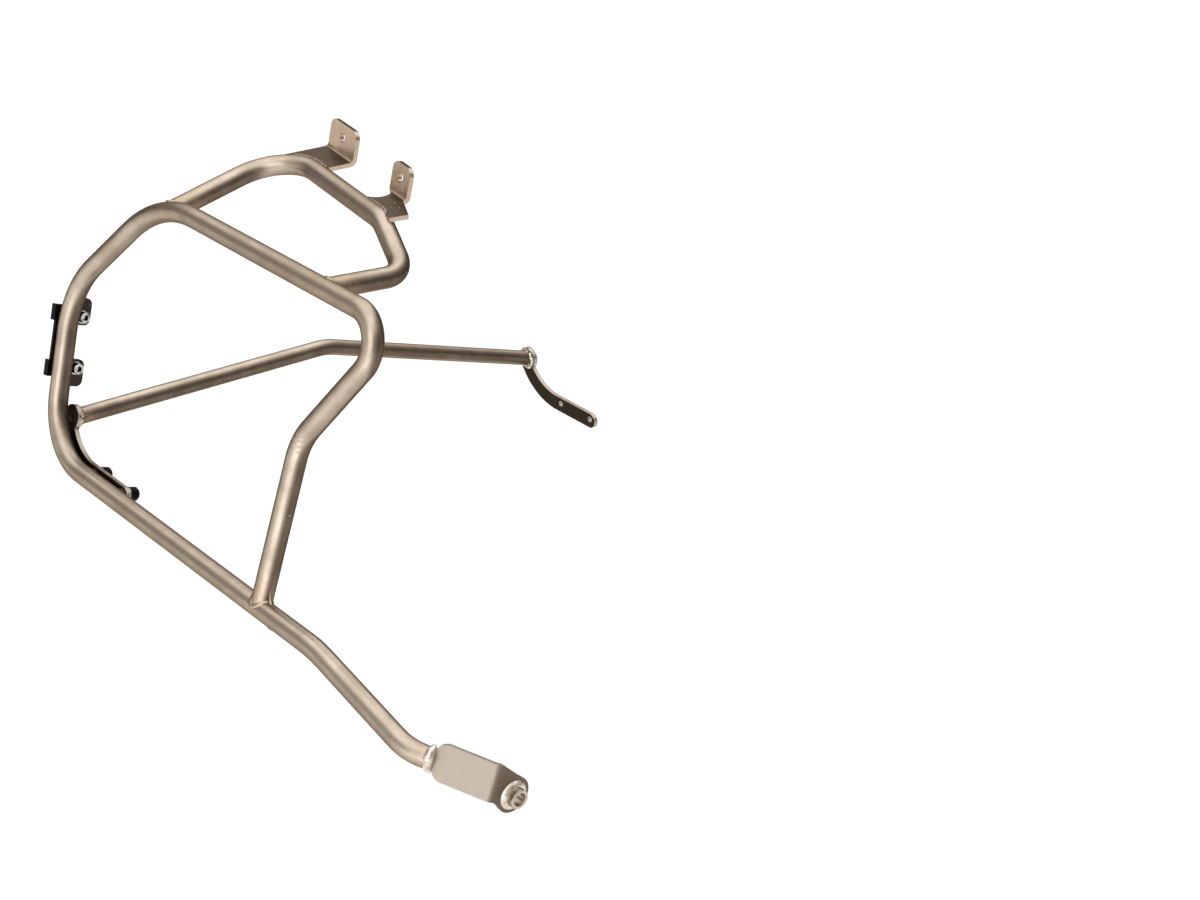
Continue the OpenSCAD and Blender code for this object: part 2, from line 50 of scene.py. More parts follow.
class Slot(Enum):
    """Material slots of the record."""

    FRAME = "frame_steel"
    EAR = "ear_steel"
    PLATE = "plate_steel"
    ZINC = "zinc_steel"
    BLACK = "black_steel"
    SCREW = "black_screw"


def circle(count: int) -> Iterator[tuple[float, float]]:
    """Gives the cosine and sine of evenly spaced turns, once round.

    Args:
        count: Number of turns.

    Returns:
        The pairs, one by one.
    """
    for k in range(count):
        turn = 2 * math.pi * k / count
        yield math.cos(turn), math.sin(turn)


def steps(low: float, high: float, count: int) -> Iterator[float]:
    """Gives evenly spaced numbers, with both ends.

    Args:
        low: First number.
        high: Last number.
        count: Number of steps between them.

    Returns:
        The numbers, one by one.
    """
    for k in range(count + 1):
        yield low + (high - low) * k / count


class RingAxes:
    """The leaning axes in which the ring is drawn, in millimetres."""

    origin: Vector = Vector((-635.25, -39.2515, 97.3387))
    lean: Matrix = Matrix.Rotation(math.radians(-9.0), 3, "X")

    @classmethod
    def point(cls, place: Iterable[float]) -> Vector:
        """Places a point of the ring's axes in the scene, in metres."""
        return (cls.origin + cls.lean @ Vector(place)) * MM

    @classmethod
    def heading(cls, direction: Iterable[float]) -> Vector:
        """Turns a direction of the ring's axes into the scene's."""
        return (cls.lean @ Vector(direction)).normalized()


class MemberAxes:
    """The raked axes of the ring's rear member, given in the ring's axes."""

    corner: Vector = Vector((8.0, 0.0, -52.3))
    rake: Matrix = Matrix.Rotation(math.radians(-8.63245), 3, "Y")

    @classmethod
    def point(cls, place: Iterable[float]) -> Vector:
        """Places a point of the member's axes in the scene, in metres."""
        return RingAxes.point(cls.corner + cls.rake @ Vector(place))

    @classmethod
    def heading(cls, direction: Iterable[float]) -> Vector:
        """Turns a direction of the member's axes into the scene's."""
        return RingAxes.heading(cls.rake @ Vector(direction))


class NodeSurface:
    """The surface of one CAD node, for pieces that have to lie on it.

    Args:
        name: Name of the CAD node.
    """

    def __init__(self, name: str) -> None:
        """Reads the node's faces into a tree that lines can be followed to."""
        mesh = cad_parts[name].data
        self.tree = BVHTree.FromPolygons(
            [v.co.copy() for v in mesh.vertices], [tuple(p.vertices) for p in mesh.polygons]
        )

    def struck(self, start: Vector, heading: Vector) -> Hit:
        """Follows a straight line to the surface.

        Args:
            start: Point that the line leaves from, in metres.
            heading: Direction of the line.

        Returns:
            The place and the normal turned against the line, or None where it misses.
        """
        place, normal, _, _ = self.tree.ray_cast(start, heading)
        if place is None:
            return None
        return place, (-normal if normal.dot(heading) > 0 else normal)


class Recipe:
    """A node material that is put together step by step.

    Args:
        name: Name of the material.
        colour: Base colour of the shader.
        metallic: Metallic value of the shader.
        roughness: Roughness of the shader.
    """

    scratch_drawn: Triple = (1.0, 0.02, 0.35)
    scratch_edge: float = 0.02

    def __init__(self, name: str, colour: Colour, metallic: float, roughness: float) -> None:
        """Starts the material with its shader, its output and the object's own place."""
        self.material = bpy.data.materials.new(name)
        self.material.use_nodes = True
        self.tree = self.material.node_tree
        self.tree.nodes.clear()
        self.shader = self.node("ShaderNodeBsdfPrincipled")
        self.shader.inputs["Base Color"].default_value = (*colour, 1.0)
        self.shader.inputs["Metallic"].default_value = metallic
        self.shader.inputs["Roughness"].default_value = roughness
        output = self.node("ShaderNodeOutputMaterial")
        self.tree.links.new(self.shader.outputs[0], output.inputs[0])
        self.place = self.node("ShaderNodeTexCoord").outputs["Object"]

    def node(self, kind: str, **settings: object) -> bpy.types.Node:
        """Adds one node and sets its properties.

        Args:
            kind: Type of the node.
            settings: Properties and their values.

        Returns:
            The node.
        """
        made = self.tree.nodes.new(kind)
        for key, value in settings.items():
            setattr(made, key, value)
        return made

    def feed(self, socket: bpy.types.NodeSocket, value: object) -> None:
        """Links an output into a socket, or writes a plain value there.

        Args:
            socket: Input of a node.
            value: Output of another node, a colour or a number.
        """
        if isinstance(value, bpy.types.NodeSocket):
            self.tree.links.new(value, socket)
        elif isinstance(value, tuple) and len(value) == 3 and socket.type == "RGBA":
            socket.default_value = (*value, 1.0)
        else:
            socket.default_value = value

    def math(self, operation: str, first: object, second: object) -> bpy.types.NodeSocket:
        """Adds a Math node and returns its value.

        Args:
            operation: What it does.
            first: First value.
            second: Second value.

        Returns:
            The result.
        """
        made = self.node("ShaderNodeMath", operation=operation)
        self.feed(made.inputs[0], first)
        self.feed(made.inputs[1], second)
        return made.outputs[0]

    def times(self, first: object, second: object) -> bpy.types.NodeSocket:
        """Multiplies two values."""
        return self.math("MULTIPLY", first, second)

    def plus(self, first: object, second: object) -> bpy.types.NodeSocket:
        """Adds two values."""
        return self.math("ADD", first, second)

    def most(self, first: object, second: object) -> bpy.types.NodeSocket:
        """Takes the larger of two values."""
        return self.math("MAXIMUM", first, second)

    def noise(self, scale: float, detail: float = 3.0, stretch: Triple = (1.0, 1.0, 1.0),
              turn: Triple = (0.0, 0.0, 0.0)) -> bpy.types.NodeSocket:
        """Adds a noise over the object's own place.

        Args:
            scale: Number of cells in a metre.
            detail: Number of finer layers.
            stretch: Scale of the place along each axis before the noise.
            turn: Turn of the place about each axis, in degrees.

        Returns:
            The noise, from 0 to 1.
        """
        mapping = self.node("ShaderNodeMapping")
        mapping.inputs["Rotation"].default_value = tuple(math.radians(a) for a in turn)
        mapping.inputs["Scale"].default_value = stretch
        self.tree.links.new(self.place, mapping.inputs["Vector"])
        made = self.node("ShaderNodeTexNoise")
        made.inputs["Scale"].default_value = scale
        made.inputs["Detail"].default_value = detail
        made.inputs["Roughness"].default_value = 0.55
        self.tree.links.new(mapping.outputs[0], made.inputs["Vector"])
        return made.outputs["Fac"]

    def span(self, value: object, low: float, high: float, to_low: float = 0.0,
             to_high: float = 1.0) -> bpy.types.NodeSocket:
        """Maps one range of a value smoothly to another.

        Args:
            value: The value.
            low: Start of its range.
            high: End of its range.
            to_low: Result at the start.
            to_high: Result at the end.

        Returns:
            The result.
        """
        made = self.node("ShaderNodeMapRange", interpolation_type="SMOOTHSTEP")
        self.feed(made.inputs["Value"], value)
        for key, number in (("From Min", low), ("From Max", high),
                            ("To Min", to_low), ("To Max", to_high)):
            made.inputs[key].default_value = number
        return made.outputs[0]

    def mix(self, share: object, first: object, second: object) -> bpy.types.NodeSocket:
        """Mixes two colours.

        Args:
            share: Share of the second one.
            first: First colour.
            second: Second colour.

        Returns:
            The mixed colour.
        """
        made = self.node("ShaderNodeMix", data_type="RGBA")
        self.feed(made.inputs["Factor"], share)
        self.feed(made.inputs[6], first)
        self.feed(made.inputs[7], second)
        return made.outputs[2]

    def near(self, place: Iterable[float], inner: float, outer: float) -> bpy.types.NodeSocket:
        """Marks the surroundings of a place.

        Args:
            place: The place.
            inner: Distance within which the mark is full, in metres.
            outer: Distance beyond which there is none, in metres.

        Returns:
            The mark, from 0 to 1.
        """
        gap = self.node("ShaderNodeVectorMath", operation="DISTANCE")
        self.tree.links.new(self.place, gap.inputs[0])
        gap.inputs[1].default_value = tuple(place)
        return self.span(gap.outputs["Value"], inner, outer, 1.0, 0.0)

    def towards(self, heading: Iterable[float], low: float, high: float) -> bpy.types.NodeSocket:
        """Marks the faces that look along a fixed direction of the part.

        Args:
            heading: The direction.
            low: Cosine of the turning at which the mark starts.
            high: Cosine of the turning from which it is full.

        Returns:
            The mark, from 0 to 1.
        """
        dot = self.node("ShaderNodeVectorMath", operation="DOT_PRODUCT")
        self.tree.links.new(self.node("ShaderNodeNewGeometry").outputs["Normal"], dot.inputs[0])
        dot.inputs[1].default_value = tuple(Vector(heading).normalized())
        return self.span(dot.outputs["Value"], low, high)

    def edge_tint(self, colour: Colour) -> None:
        """Sets the metal's tint at grazing angles."""
        self.shader.inputs["Specular Tint"].default_value = (*colour, 1.0)

    def scratches(self, *runs: tuple[float, Triple, float]) -> bpy.types.NodeSocket:
        """Adds thin scratches.

        Args:
            runs: One or more directions, each with its cells in a metre, its turn in degrees
                and its rarity.

        Returns:
            1 on a scratch and 0 beside it.
        """
        found: object = 0.0
        for scale, turn, rarity in runs:
            lines = self.noise(scale, 2.0, self.scratch_drawn, turn)
            found = self.most(found, self.span(lines, rarity, rarity + self.scratch_edge))
        return found

    def bump(self, height: object, depth: float, strength: float) -> None:
        """Adds a height to the shader's normal, on top of what is there.

        Args:
            height: Height, from 0 to 1.
            depth: Real depth of a height of 1, in metres.
            strength: Share of the effect.
        """
        made = self.node("ShaderNodeBump")
        made.inputs["Strength"].default_value = strength
        made.inputs["Distance"].default_value = depth
        self.feed(made.inputs["Height"], height)
        socket = self.shader.inputs["Normal"]
        if socket.is_linked:
            self.tree.links.new(socket.links[0].from_socket, made.inputs["Normal"])
        self.tree.links.new(made.outputs[0], socket)

    def done(self, colour: object, roughness: object) -> bpy.types.Material:
        """Feeds the shader its colour and roughness and gives the material.

        Args:
            colour: Colour of the surface.
            roughness: Roughness of the surface.

        Returns:
            The finished material.
        """
        self.feed(self.shader.inputs["Base Color"], colour)
        self.feed(self.shader.inputs["Roughness"], roughness)
        return self.material


@dataclass(frozen=True)
class SatinSteel:
    """Bent steel tube with a blasted, lightly polished finish.

    Args:
        heat: Places of the welds, each with the reach of its tint, in metres.
        name: Name of the material.
        light: Colour of the rubbed places.
        deep: Colour of the duller places.
        film: Colour of the painted shade laid on the faces that look along the given sides.
        warm: Colour of the tint round the welds.
        scratch: Colour of the scratches.
        sheen: Colour of the sheen at grazing angles.
        sides: Directions whose faces carry the painted shade: the wheel's, the rear and below. Each
            has the range of turning over which the shade comes in, and its share.
        knee: Middle of the leg's bend, in the ring's axes.
        knee_reach: Distances from there over which its creases fade, in metres.
        creases: Number that spaces those creases.
        roughness: Middle value of the roughness.
    """

    heat: Heat
    name: str = "satin_steel"
    light: Colour = (0.58, 0.50, 0.41)
    deep: Colour = (0.42, 0.347, 0.267)
    film: Colour = (0.108, 0.078, 0.055)
    warm: Colour = (0.47, 0.33, 0.22)
    scratch: Colour = (0.80, 0.74, 0.67)
    sheen: Colour = (0.30, 0.23, 0.18)
    sides: tuple[tuple[Triple, float, float, float], ...] = (
        ((0.86, 0.45, 0.10), 0.34, 0.80, 1.0),
        ((-0.90, -0.42, -0.05), 0.10, 0.78, 0.78),
        ((0.0, 0.0, -1.0), 0.1, 0.9, 0.5),
    )
    knee: Triple = (355.5, 0.0, 89.0)
    knee_reach: tuple[float, float] = (0.006, 0.017)
    creases: float = 62.0
    roughness: float = 0.34

    def build(self) -> bpy.types.Material:
        """Puts the material together.

        Returns:
            The material.
        """
        mix = Recipe(self.name, self.light, 1.0, self.roughness)
        mix.edge_tint(self.sheen)
        cloud, blotch, grain = mix.noise(38.0, 4.0), mix.noise(240.0), mix.noise(2600.0, 2.0)
        colour = mix.mix(mix.span(cloud, 0.30, 0.72, 0.30, 1.0), self.deep, self.light)
        colour = mix.mix(mix.span(blotch, 0.42, 0.75, 0.0, 0.28), colour, self.deep)
        # Painted shade: faces that look along the given sides (the wheel's, the rear, below) are
        # darkened towards the film colour.
        below: object = 0.0
        for heading, low, high, share in self.sides:
            below = mix.most(below, mix.times(mix.towards(heading, low, high), share))
        film = mix.times(below, mix.span(mix.noise(55.0), 0.2, 0.7, 0.80, 0.92))
        colour = mix.mix(film, colour, self.film)
        patches = mix.span(blotch, 0.25, 0.7, 0.08, 0.35)
        for place, reach in self.heat:
            glow = mix.times(mix.near(place, reach * 0.35, reach), patches)
            colour = mix.mix(glow, colour, self.warm)
        fine = mix.scratches((900.0, (0.0, 35.0, 12.0), 0.735), (700.0, (60.0, 0.0, 75.0), 0.745))
        colour = mix.mix(mix.times(fine, 0.45), colour, self.scratch)
        rough = mix.span(cloud, 0.3, 0.7, self.roughness + 0.06, self.roughness - 0.04)
        rough = mix.plus(rough, mix.span(grain, 0.3, 0.7, -0.03, 0.03))
        mix.bump(grain, 0.00002, 0.35)
        mix.bump(blotch, 0.00006, 0.30)
        mix.bump(self.knee_creases(mix), 0.0005, 0.6)
        mix.bump(mix.times(fine, -1.0), SCRATCH_DEPTH, 0.5)
        return mix.done(colour, mix.plus(rough, mix.times(below, 0.12)))

    def knee_creases(self, mix: Recipe) -> bpy.types.NodeSocket:
        """Gives the height of the small creases on the inside of the leg's bend.

        Args:
            mix: Recipe that they go into.

        Returns:
            The height, from 0 to 1.
        """
        wave = mix.node("ShaderNodeTexWave", bands_direction="Z")
        mix.tree.links.new(mix.place, wave.inputs["Vector"])
        wave.inputs["Scale"].default_value = self.creases
        wave.inputs["Distortion"].default_value = 1.2
        return mix.times(wave.outputs["Fac"], mix.near(RingAxes.point(self.knee), *self.knee_reach))


@dataclass(frozen=True)
class SheetSteel:
    """Cut and folded sheet with a dull, slightly mottled face.

    Args:
        name: Name of the material.
        face: Colour of the face.
        stain: Colour of the mottling and of handling marks.
        roughness: Middle value of the roughness.
        scuff: Colour of scratches and rubbed specks.
        tint: Colour of the sheen at grazing angles.
        painted_shade: Colour of the painted shade on the faces that look along the given heading,
            where there is one.
        heading: Direction of those faces.
        reach: Range of turning over which that colour comes in.
        lighter_shade_place: Place round which the painted shade takes a lighter colour, where there
            is one.
        lighter_shade_colour: Colour of that lighter painted shade.
        lighter_shade_reach: Distances from there over which it fades, in metres.
    """

    name: str
    face: Colour
    stain: Colour
    roughness: float
    scuff: Colour = (0.74, 0.68, 0.62)
    tint: Colour = (0.6, 0.52, 0.45)
    painted_shade: Optional[Colour] = None
    heading: Triple = (1.0, 0.0, 0.0)
    reach: tuple[float, float] = (0.6, 0.98)
    lighter_shade_place: Optional[Triple] = None
    lighter_shade_colour: Colour = (0.13, 0.105, 0.085)
    lighter_shade_reach: tuple[float, float] = (0.009, 0.016)

    def build(self) -> bpy.types.Material:
        """Puts the material together.

        Returns:
            The material.
        """
        mix = Recipe(self.name, self.face, 1.0, self.roughness)
        mix.edge_tint(self.tint)
        cloud, fleck, grain = mix.noise(70.0, 4.0), mix.noise(900.0, 2.0), mix.noise(3000.0, 2.0)
        colour = mix.mix(mix.span(cloud, 0.38, 0.72, 0.0, 0.75), self.face, self.stain)
        colour = mix.mix(mix.span(fleck, 0.56, 0.8, 0.0, 0.35), colour, self.stain)
        # Painted shade: faces that look along the heading are painted darker, with a lighter shade
        # round one place where it is set.
        if self.painted_shade is not None:
            painted_shade: object = self.painted_shade
            if self.lighter_shade_place is not None:
                painted_shade = mix.mix(mix.near(self.lighter_shade_place, *self.lighter_shade_reach), painted_shade, self.lighter_shade_colour)
            colour = mix.mix(mix.towards(self.heading, *self.reach), colour, painted_shade)
        fine = mix.scratches((800.0, (20.0, 10.0, 40.0), 0.735),
                             (620.0, (70.0, 30.0, -25.0), 0.745))
        speck = mix.span(mix.noise(1500.0, 1.0), 0.80, 0.86)
        colour = mix.mix(mix.most(mix.times(fine, 0.4), mix.times(speck, 0.7)), colour, self.scuff)
        mix.bump(grain, 0.00003, 0.4)
        mix.bump(cloud, 0.0002, 0.15)
        mix.bump(mix.times(fine, -1.0), SCRATCH_DEPTH, 0.5)
        rough = mix.span(cloud, 0.3, 0.7, self.roughness + 0.05, self.roughness - 0.05)
        return mix.done(colour, rough)


@dataclass(frozen=True)
class PlatedSteel:
    """Bright plated fastener with a faint cloudy bloom.

    Args:
        name: Name of the material.
        bright: Colour of the plating.
        bloom: Colour of its bloom.
        roughness: Middle value of the roughness.
        heading: Direction of the screws, where the faces that look across it carry painted shade.
        painted_wall_shade: Colour of that painted shade.
    """

    name: str
    bright: Colour
    bloom: Colour = (0.07, 0.065, 0.06)
    roughness: float = 0.13
    heading: Optional[Triple] = None
    painted_wall_shade: Colour = (0.035, 0.033, 0.03)

    def build(self) -> bpy.types.Material:
        """Puts the material together.

        Returns:
            The material.
        """
        mix = Recipe(self.name, self.bright, 1.0, self.roughness)
        mix.edge_tint((0.25, 0.24, 0.23))
        cloud = mix.noise(420.0, 4.0)
        colour = mix.mix(mix.span(cloud, 0.45, 0.75), self.bright, self.bloom)
        # Painted shade: faces that do not look along the screws' direction (head and socket walls)
        # take the dark wall colour.
        if self.heading is not None:
            colour = mix.mix(mix.towards(self.heading, 0.35, 0.85), self.painted_wall_shade, colour)
        mix.bump(mix.noise(2200.0, 2.0), 0.00003, 0.4)
        return mix.done(colour, mix.span(cloud, 0.3, 0.8, self.roughness, self.roughness + 0.18))


@dataclass(frozen=True)
class BlackCoat:
    """Black coating with a fine orange-peel skin, rubbed on a few spots.

    Args:
        name: Name of the material.
        roughness: Middle value of the roughness.
        coat: Colour of the coating.
        rubbed: Colour of rubbed spots.
        gloss: Level of its reflections.
    """

    name: str
    roughness: float
    coat: Colour = (0.0030, 0.0026, 0.0024)
    rubbed: Colour = (0.035, 0.029, 0.024)
    gloss: float = 0.07

    def build(self) -> bpy.types.Material:
        """Puts the material together.

        Returns:
            The material.
        """
        mix = Recipe(self.name, self.coat, 0.0, self.roughness)
        mix.shader.inputs["Specular IOR Level"].default_value = self.gloss
        rub = mix.span(mix.noise(260.0, 4.0), 0.64, 0.80, 0.0, 0.5)
        scratch = mix.times(mix.scratches((800.0, (15.0, 50.0, 20.0), 0.74)), 0.6)
        colour = mix.mix(mix.most(rub, scratch), self.coat, self.rubbed)
        mix.bump(mix.noise(1300.0, 2.0), 0.00006, 0.5)
        return mix.done(colour, mix.plus(self.roughness, mix.times(rub, 0.15)))


@dataclass(frozen=True)
class WeldMetal:
    """Shiny weld metal with dull film in its ripples.

    Args:
        name: Name of the material.
        crown: Colour of the bead.
        crease: Colour of the film.
        roughness: Roughness of the bead.
        lumps: Number of lumps in a metre.
        drawn: Scale of the lumps along each axis, below 1 where they are drawn out.
        edge: Range of the lumps over which the film comes in.
    """

    name: str
    crown: Colour
    crease: Colour
    roughness: float
    lumps: float = 520.0
    drawn: Triple = (1.0, 1.0, 1.0)
    edge: tuple[float, float] = (0.44, 0.66)

    def build(self) -> bpy.types.Material:
        """Puts the material together.

        Returns:
            The material.
        """
        mix = Recipe(self.name, self.crown, 1.0, self.roughness)
        blotch = mix.noise(self.lumps, 4.0, self.drawn, (18.0, 0.0, 0.0))
        colour = mix.mix(mix.span(blotch, *self.edge, 0.0, 0.9), self.crown, self.crease)
        mix.bump(mix.times(blotch, -1.0), 0.12 / self.lumps, 0.8)
        mix.bump(mix.noise(1800.0), 0.00008, 0.5)
        return mix.done(colour, mix.span(blotch, 0.3, 0.7, self.roughness, self.roughness + 0.2))


@dataclass
class Seam:
    """A run of points that a weld follows, each with the direction it faces.

    Args:
        points: Places along the seam, in metres.
        facings: Direction that the weld faces at each of them.
        closed: Whether the last point joins the first.
    """

    points: list[Vector] = field(default_factory=list)
    facings: list[Vector] = field(default_factory=list)
    closed: bool = False

    def add(self, point: Vector, facing: Vector) -> None:
        """Adds one point of the seam."""
        self.points.append(point)
        self.facings.append(facing.normalized())

    def add_corner(self, found: Hit, other: Vector) -> None:
        """Adds a struck point in the corner between that surface and another.

        Args:
            found: Place and normal that a line struck, or None where it missed.
            other: Normal of the other surface.
        """
        if found is not None:
            facing = found[1] + other
            self.add(found[0] + facing.normalized() * SEAM_LIFT, facing)

    def even(self, step: float) -> "Seam":
        """Spaces the points evenly.

        Args:
            step: Distance from one point to the next, in metres.

        Returns:
            A new seam along the same line.
        """
        points = self.points + ([self.points[0]] if self.closed else [])
        facings = self.facings + ([self.facings[0]] if self.closed else [])
        lengths = [0.0]
        for a, b in zip(points, points[1:]):
            lengths.append(lengths[-1] + (b - a).length)
        count = max(8, round(lengths[-1] / step))
        out = Seam(closed=self.closed)
        at = 0
        for k in range(count if self.closed else count + 1):
            s = lengths[-1] * k / count
            while at < len(lengths) - 2 and lengths[at + 1] < s:
                at += 1
            share = (s - lengths[at]) / max(1e-9, lengths[at + 1] - lengths[at])
            out.add(points[at].lerp(points[at + 1], share),
                    facings[at].lerp(facings[at + 1], share))
        return out

    def length(self) -> float:
        """Gives the length of the seam in metres."""
        loop = self.points + ([self.points[0]] if self.closed else [])
        return sum((b - a).length for a, b in zip(loop, loop[1:]))


@dataclass
class WeldBead:
    """A laid bead of overlapping drops along a seam.

    Args:
        radius: Half width of the bead, in metres.
        crown: Height of the bead as a share of its half width.
        pitch: Distance between two drops, in metres.
        ripple: Depth of the creases as a share of the radius.
        seed: Number that varies the bead from the others.
        fat: Added share of the radius at the bead's widest place.
        fat_at: Share of the length at which that place lies.
    """

    radius: float
    crown: float = 0.8
    pitch: float = 0.0015
    ripple: float = 0.16
    seed: int = 1
    fat: float = 0.0
    fat_at: float = 0.5
    sides: ClassVar[int] = 14
    rings_in_drop: ClassVar[float] = 9.0
    swell_cells: ClassVar[float] = 260.0
    fat_spread: ClassVar[float] = 0.2
    end_taper: ClassVar[float] = 1.4
    chevron: ClassVar[float] = 0.42
    roundness: ClassVar[float] = 0.55

    def mesh(self, name: str, seam: Seam) -> bpy.types.Object:
        """Builds the bead.

        Args:
            name: Name of the new piece.
            seam: Line that it follows.

        Returns:
            The new object.
        """
        run = seam.even(self.pitch / self.rings_in_drop)
        count = len(run.points)
        total = run.length()
        drops = max(1, round(total / self.pitch))
        rings: list[list[Vector]] = []
        for k, (point, facing) in enumerate(zip(run.points, run.facings)):
            after = run.points[(k + 1) % count] if run.closed or k < count - 1 else point
            before = run.points[k - 1] if run.closed or k > 0 else point
            along = (after - before).normalized()
            up = (facing - along * facing.dot(along)).normalized()
            side = along.cross(up)
            share = k / (count if run.closed else count - 1)
            size = self.radius * self.swell(share, total, run.closed)
            ring = []
            for cos, sin in circle(self.sides):
                phase = share * drops - self.chevron * cos ** 2
                scallop = abs(math.sin(math.pi * phase)) ** self.roundness
                reach = size * (1.0 - self.ripple + self.ripple * scallop)
                ring.append(point + side * (reach * cos) + up * (reach * self.crown * sin))
            rings.append(ring)
        return lofted(name, rings, run.closed)

    def swell(self, share: float, total: float, closed: bool) -> float:
        """Gives how thick the bead is at one place, as a share of its radius.

        Args:
            share: Share of the seam's length at the place.
            total: Length of the seam in metres.
            closed: Whether the seam closes, so that the bead has no thin ends.

        Returns:
            The share of the radius.
        """
        cell = Vector((share * total * self.swell_cells, self.seed * 7.3, 0.0))
        swell = 1.0 + self.ripple * noise.noise(cell)
        swell *= 1.0 + self.fat * math.exp(-((share - self.fat_at) / self.fat_spread) ** 2)
        if not closed:
            ending = min(share, 1 - share) * total / (self.end_taper * self.radius)
            swell *= math.sqrt(min(1.0, max(0.02, ending)))
        return swell


def lofted(name: str, rings: Sequence[Sequence[Vector]], closed: bool) -> bpy.types.Object:
    """Joins rings of points into one smooth skin.

    Args:
        name: Name of the new piece.
        rings: Rings with the same number of points each.
        closed: Whether the last ring joins the first.

    Returns:
        The new object.
    """
    shape = bmesh.new()
    rows = [[shape.verts.new(p) for p in ring] for ring in rings]
    width = len(rows[0])
    for k in range(len(rows) if closed else len(rows) - 1):
        here, there = rows[k], rows[(k + 1) % len(rows)]
        for j in range(width):
            shape.faces.new((here[j], here[(j + 1) % width], there[(j + 1) % width], there[j]))
    if not closed:
        shape.faces.new(list(reversed(rows[0])))
        shape.faces.new(rows[-1])
    bmesh.ops.recalc_face_normals(shape, faces=shape.faces)
    return as_object(name, shape)


def as_object(name: str, shape: bmesh.types.BMesh) -> bpy.types.Object:
    """Turns a bmesh into a smooth object of the scene.

    Args:
        name: Name of the object.
        shape: Its mesh, which is freed.

    Returns:
        The object.
    """
    mesh = bpy.data.meshes.new(name)
    shape.to_mesh(mesh)
    shape.free()
    for face in mesh.polygons:
        face.use_smooth = True
    made = bpy.data.objects.new(name, mesh)
    bpy.context.scene.collection.objects.link(made)
    return made


def finish(piece: bpy.types.Object, material: bpy.types.Material, slot: Slot) -> bpy.types.Object:
    """Gives a new piece its finish, and lets it ride on the part.

    Args:
        piece: The piece.
        material: Its finish.
        slot: Its slot in the record. Not used.

    Returns:
        The same piece.
    """
    piece.data.materials.clear()
    piece.data.materials.append(material)
    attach(piece, "root")
    LOG.info("built %s", piece.name)
    return piece


def round_seam(surface: NodeSurface, foot: Vector, away: Vector, radius: float,
               back: float) -> Seam:
    """Finds the line where a round bar meets a surface.

    Args:
        surface: Skin that the bar stands on.
        foot: Point on the bar's axis near the surface, in metres.
        away: Direction of the bar away from the surface.
        radius: Radius of the bar in millimetres.
        back: Distance from the foot at which the search starts, in millimetres.

    Returns:
        A closed seam.
    """
    inside, lift = 0.975, 0.0003
    first = away.orthogonal().normalized()
    second = away.cross(first)
    seam = Seam(closed=True)
    for cos, sin in circle(120):
        out = first * cos + second * sin
        found = surface.struck(foot + away * (back * MM) + out * (radius * inside * MM), -away)
        if found is not None:
            facing = (out + found[1]).normalized()
            seam.add(found[0] + out * (radius * (1.0 - inside) * MM) + facing * lift, facing)
    return seam


class Finishes:
    """All materials of the part, built once.

    Args:
        heat: Places of the welds, each with the reach of its tint, in metres.
    """

    def __init__(self, heat: Heat) -> None:
        """Builds every material."""
        self.tube = SatinSteel(heat).build()
        # Painted shade: the ears' upward faces are painted a dark brown for their dark reflection.
        # The folds keep the face colour.
        self.ear = SheetSteel(
            "ear_face", (0.58, 0.46, 0.35), (0.44, 0.34, 0.255), 0.36, painted_shade=(0.155, 0.125, 0.10),
            heading=tuple(RingAxes.heading(ArmWelds.ear_normal)), reach=(0.86, 0.97)).build()
        # Painted shade: the lower plate's faces that look forwards, its fold and flange, are
        # painted darker.
        self.plate = SheetSteel(
            "plate_face", (0.46, 0.40, 0.35), (0.37, 0.32, 0.275), 0.55, painted_shade=(0.19, 0.15, 0.115),
            reach=(0.55, 0.99)).build()
        self.bush = SheetSteel("bush_face", (0.56, 0.49, 0.42), (0.40, 0.34, 0.29), 0.3).build()
        # Painted shade: faces of the end plates that look towards -Y are painted near black, with a
        # lighter brown round the crossbar's near end.
        self.end = SheetSteel(
            "end_plate_face", (0.50, 0.43, 0.36), (0.38, 0.31, 0.255), 0.42,
            painted_shade=(0.035, 0.027, 0.021), heading=tuple(RingAxes.heading((0.0, -1.0, 0.0))),
            reach=(0.4, 0.85), lighter_shade_place=(-0.62275, -0.0323, 0.0781)).build()
        # Painted shade: the bosses sit in the shade between plate and tube, so their whole colour
        # is a painted near black.
        self.boss = SheetSteel("boss_painted_shade", (0.07, 0.055, 0.043), (0.045, 0.034, 0.027), 0.5,
                               (0.2, 0.17, 0.14), (0.1, 0.08, 0.06)).build()
        # Painted shade: faces of the lugs that look forwards are painted darker.
        self.lug = SheetSteel(
            "lug_face", (0.34, 0.28, 0.23), (0.24, 0.195, 0.16), 0.42,
            painted_shade=(0.055, 0.042, 0.035), heading=(1.0, 0.0, 0.15), reach=(0.5, 0.9)).build()
        # Painted shade: the bright plating's faces that look across the screws are painted near
        # black.
        self.zinc = PlatedSteel("bright_plating", (0.62, 0.62, 0.60),
                                heading=tuple(MemberAxes.heading((1.0, 0.0, 0.0)))).build()
        self.washer = PlatedSteel("warm_plating", (0.50, 0.43, 0.34), (0.16, 0.13, 0.10),
                                  0.25).build()
        self.black = BlackCoat("black_plate_coat", 0.5).build()
        self.screw = BlackCoat("black_screw_coat", 0.36).build()
        self.smooth_weld = WeldMetal("smooth_weld_metal", (0.76, 0.69, 0.61), (0.50, 0.43, 0.36),
                                     0.3, 200.0).build()
        self.drop = WeldMetal("drop_metal", (0.85, 0.79, 0.71), (0.60, 0.53, 0.45), 0.2,
                              900.0).build()
        self.lumpy_weld = WeldMetal("lumpy_weld_metal", (0.74, 0.67, 0.57), (0.10, 0.075, 0.055),
                                    0.24, 430.0, (1.0, 1.0, 0.3), (0.47, 0.56)).build()
        self.dull_weld = WeldMetal("dull_weld_metal", (0.36, 0.295, 0.24), (0.17, 0.13, 0.10),
                                   0.36).build()


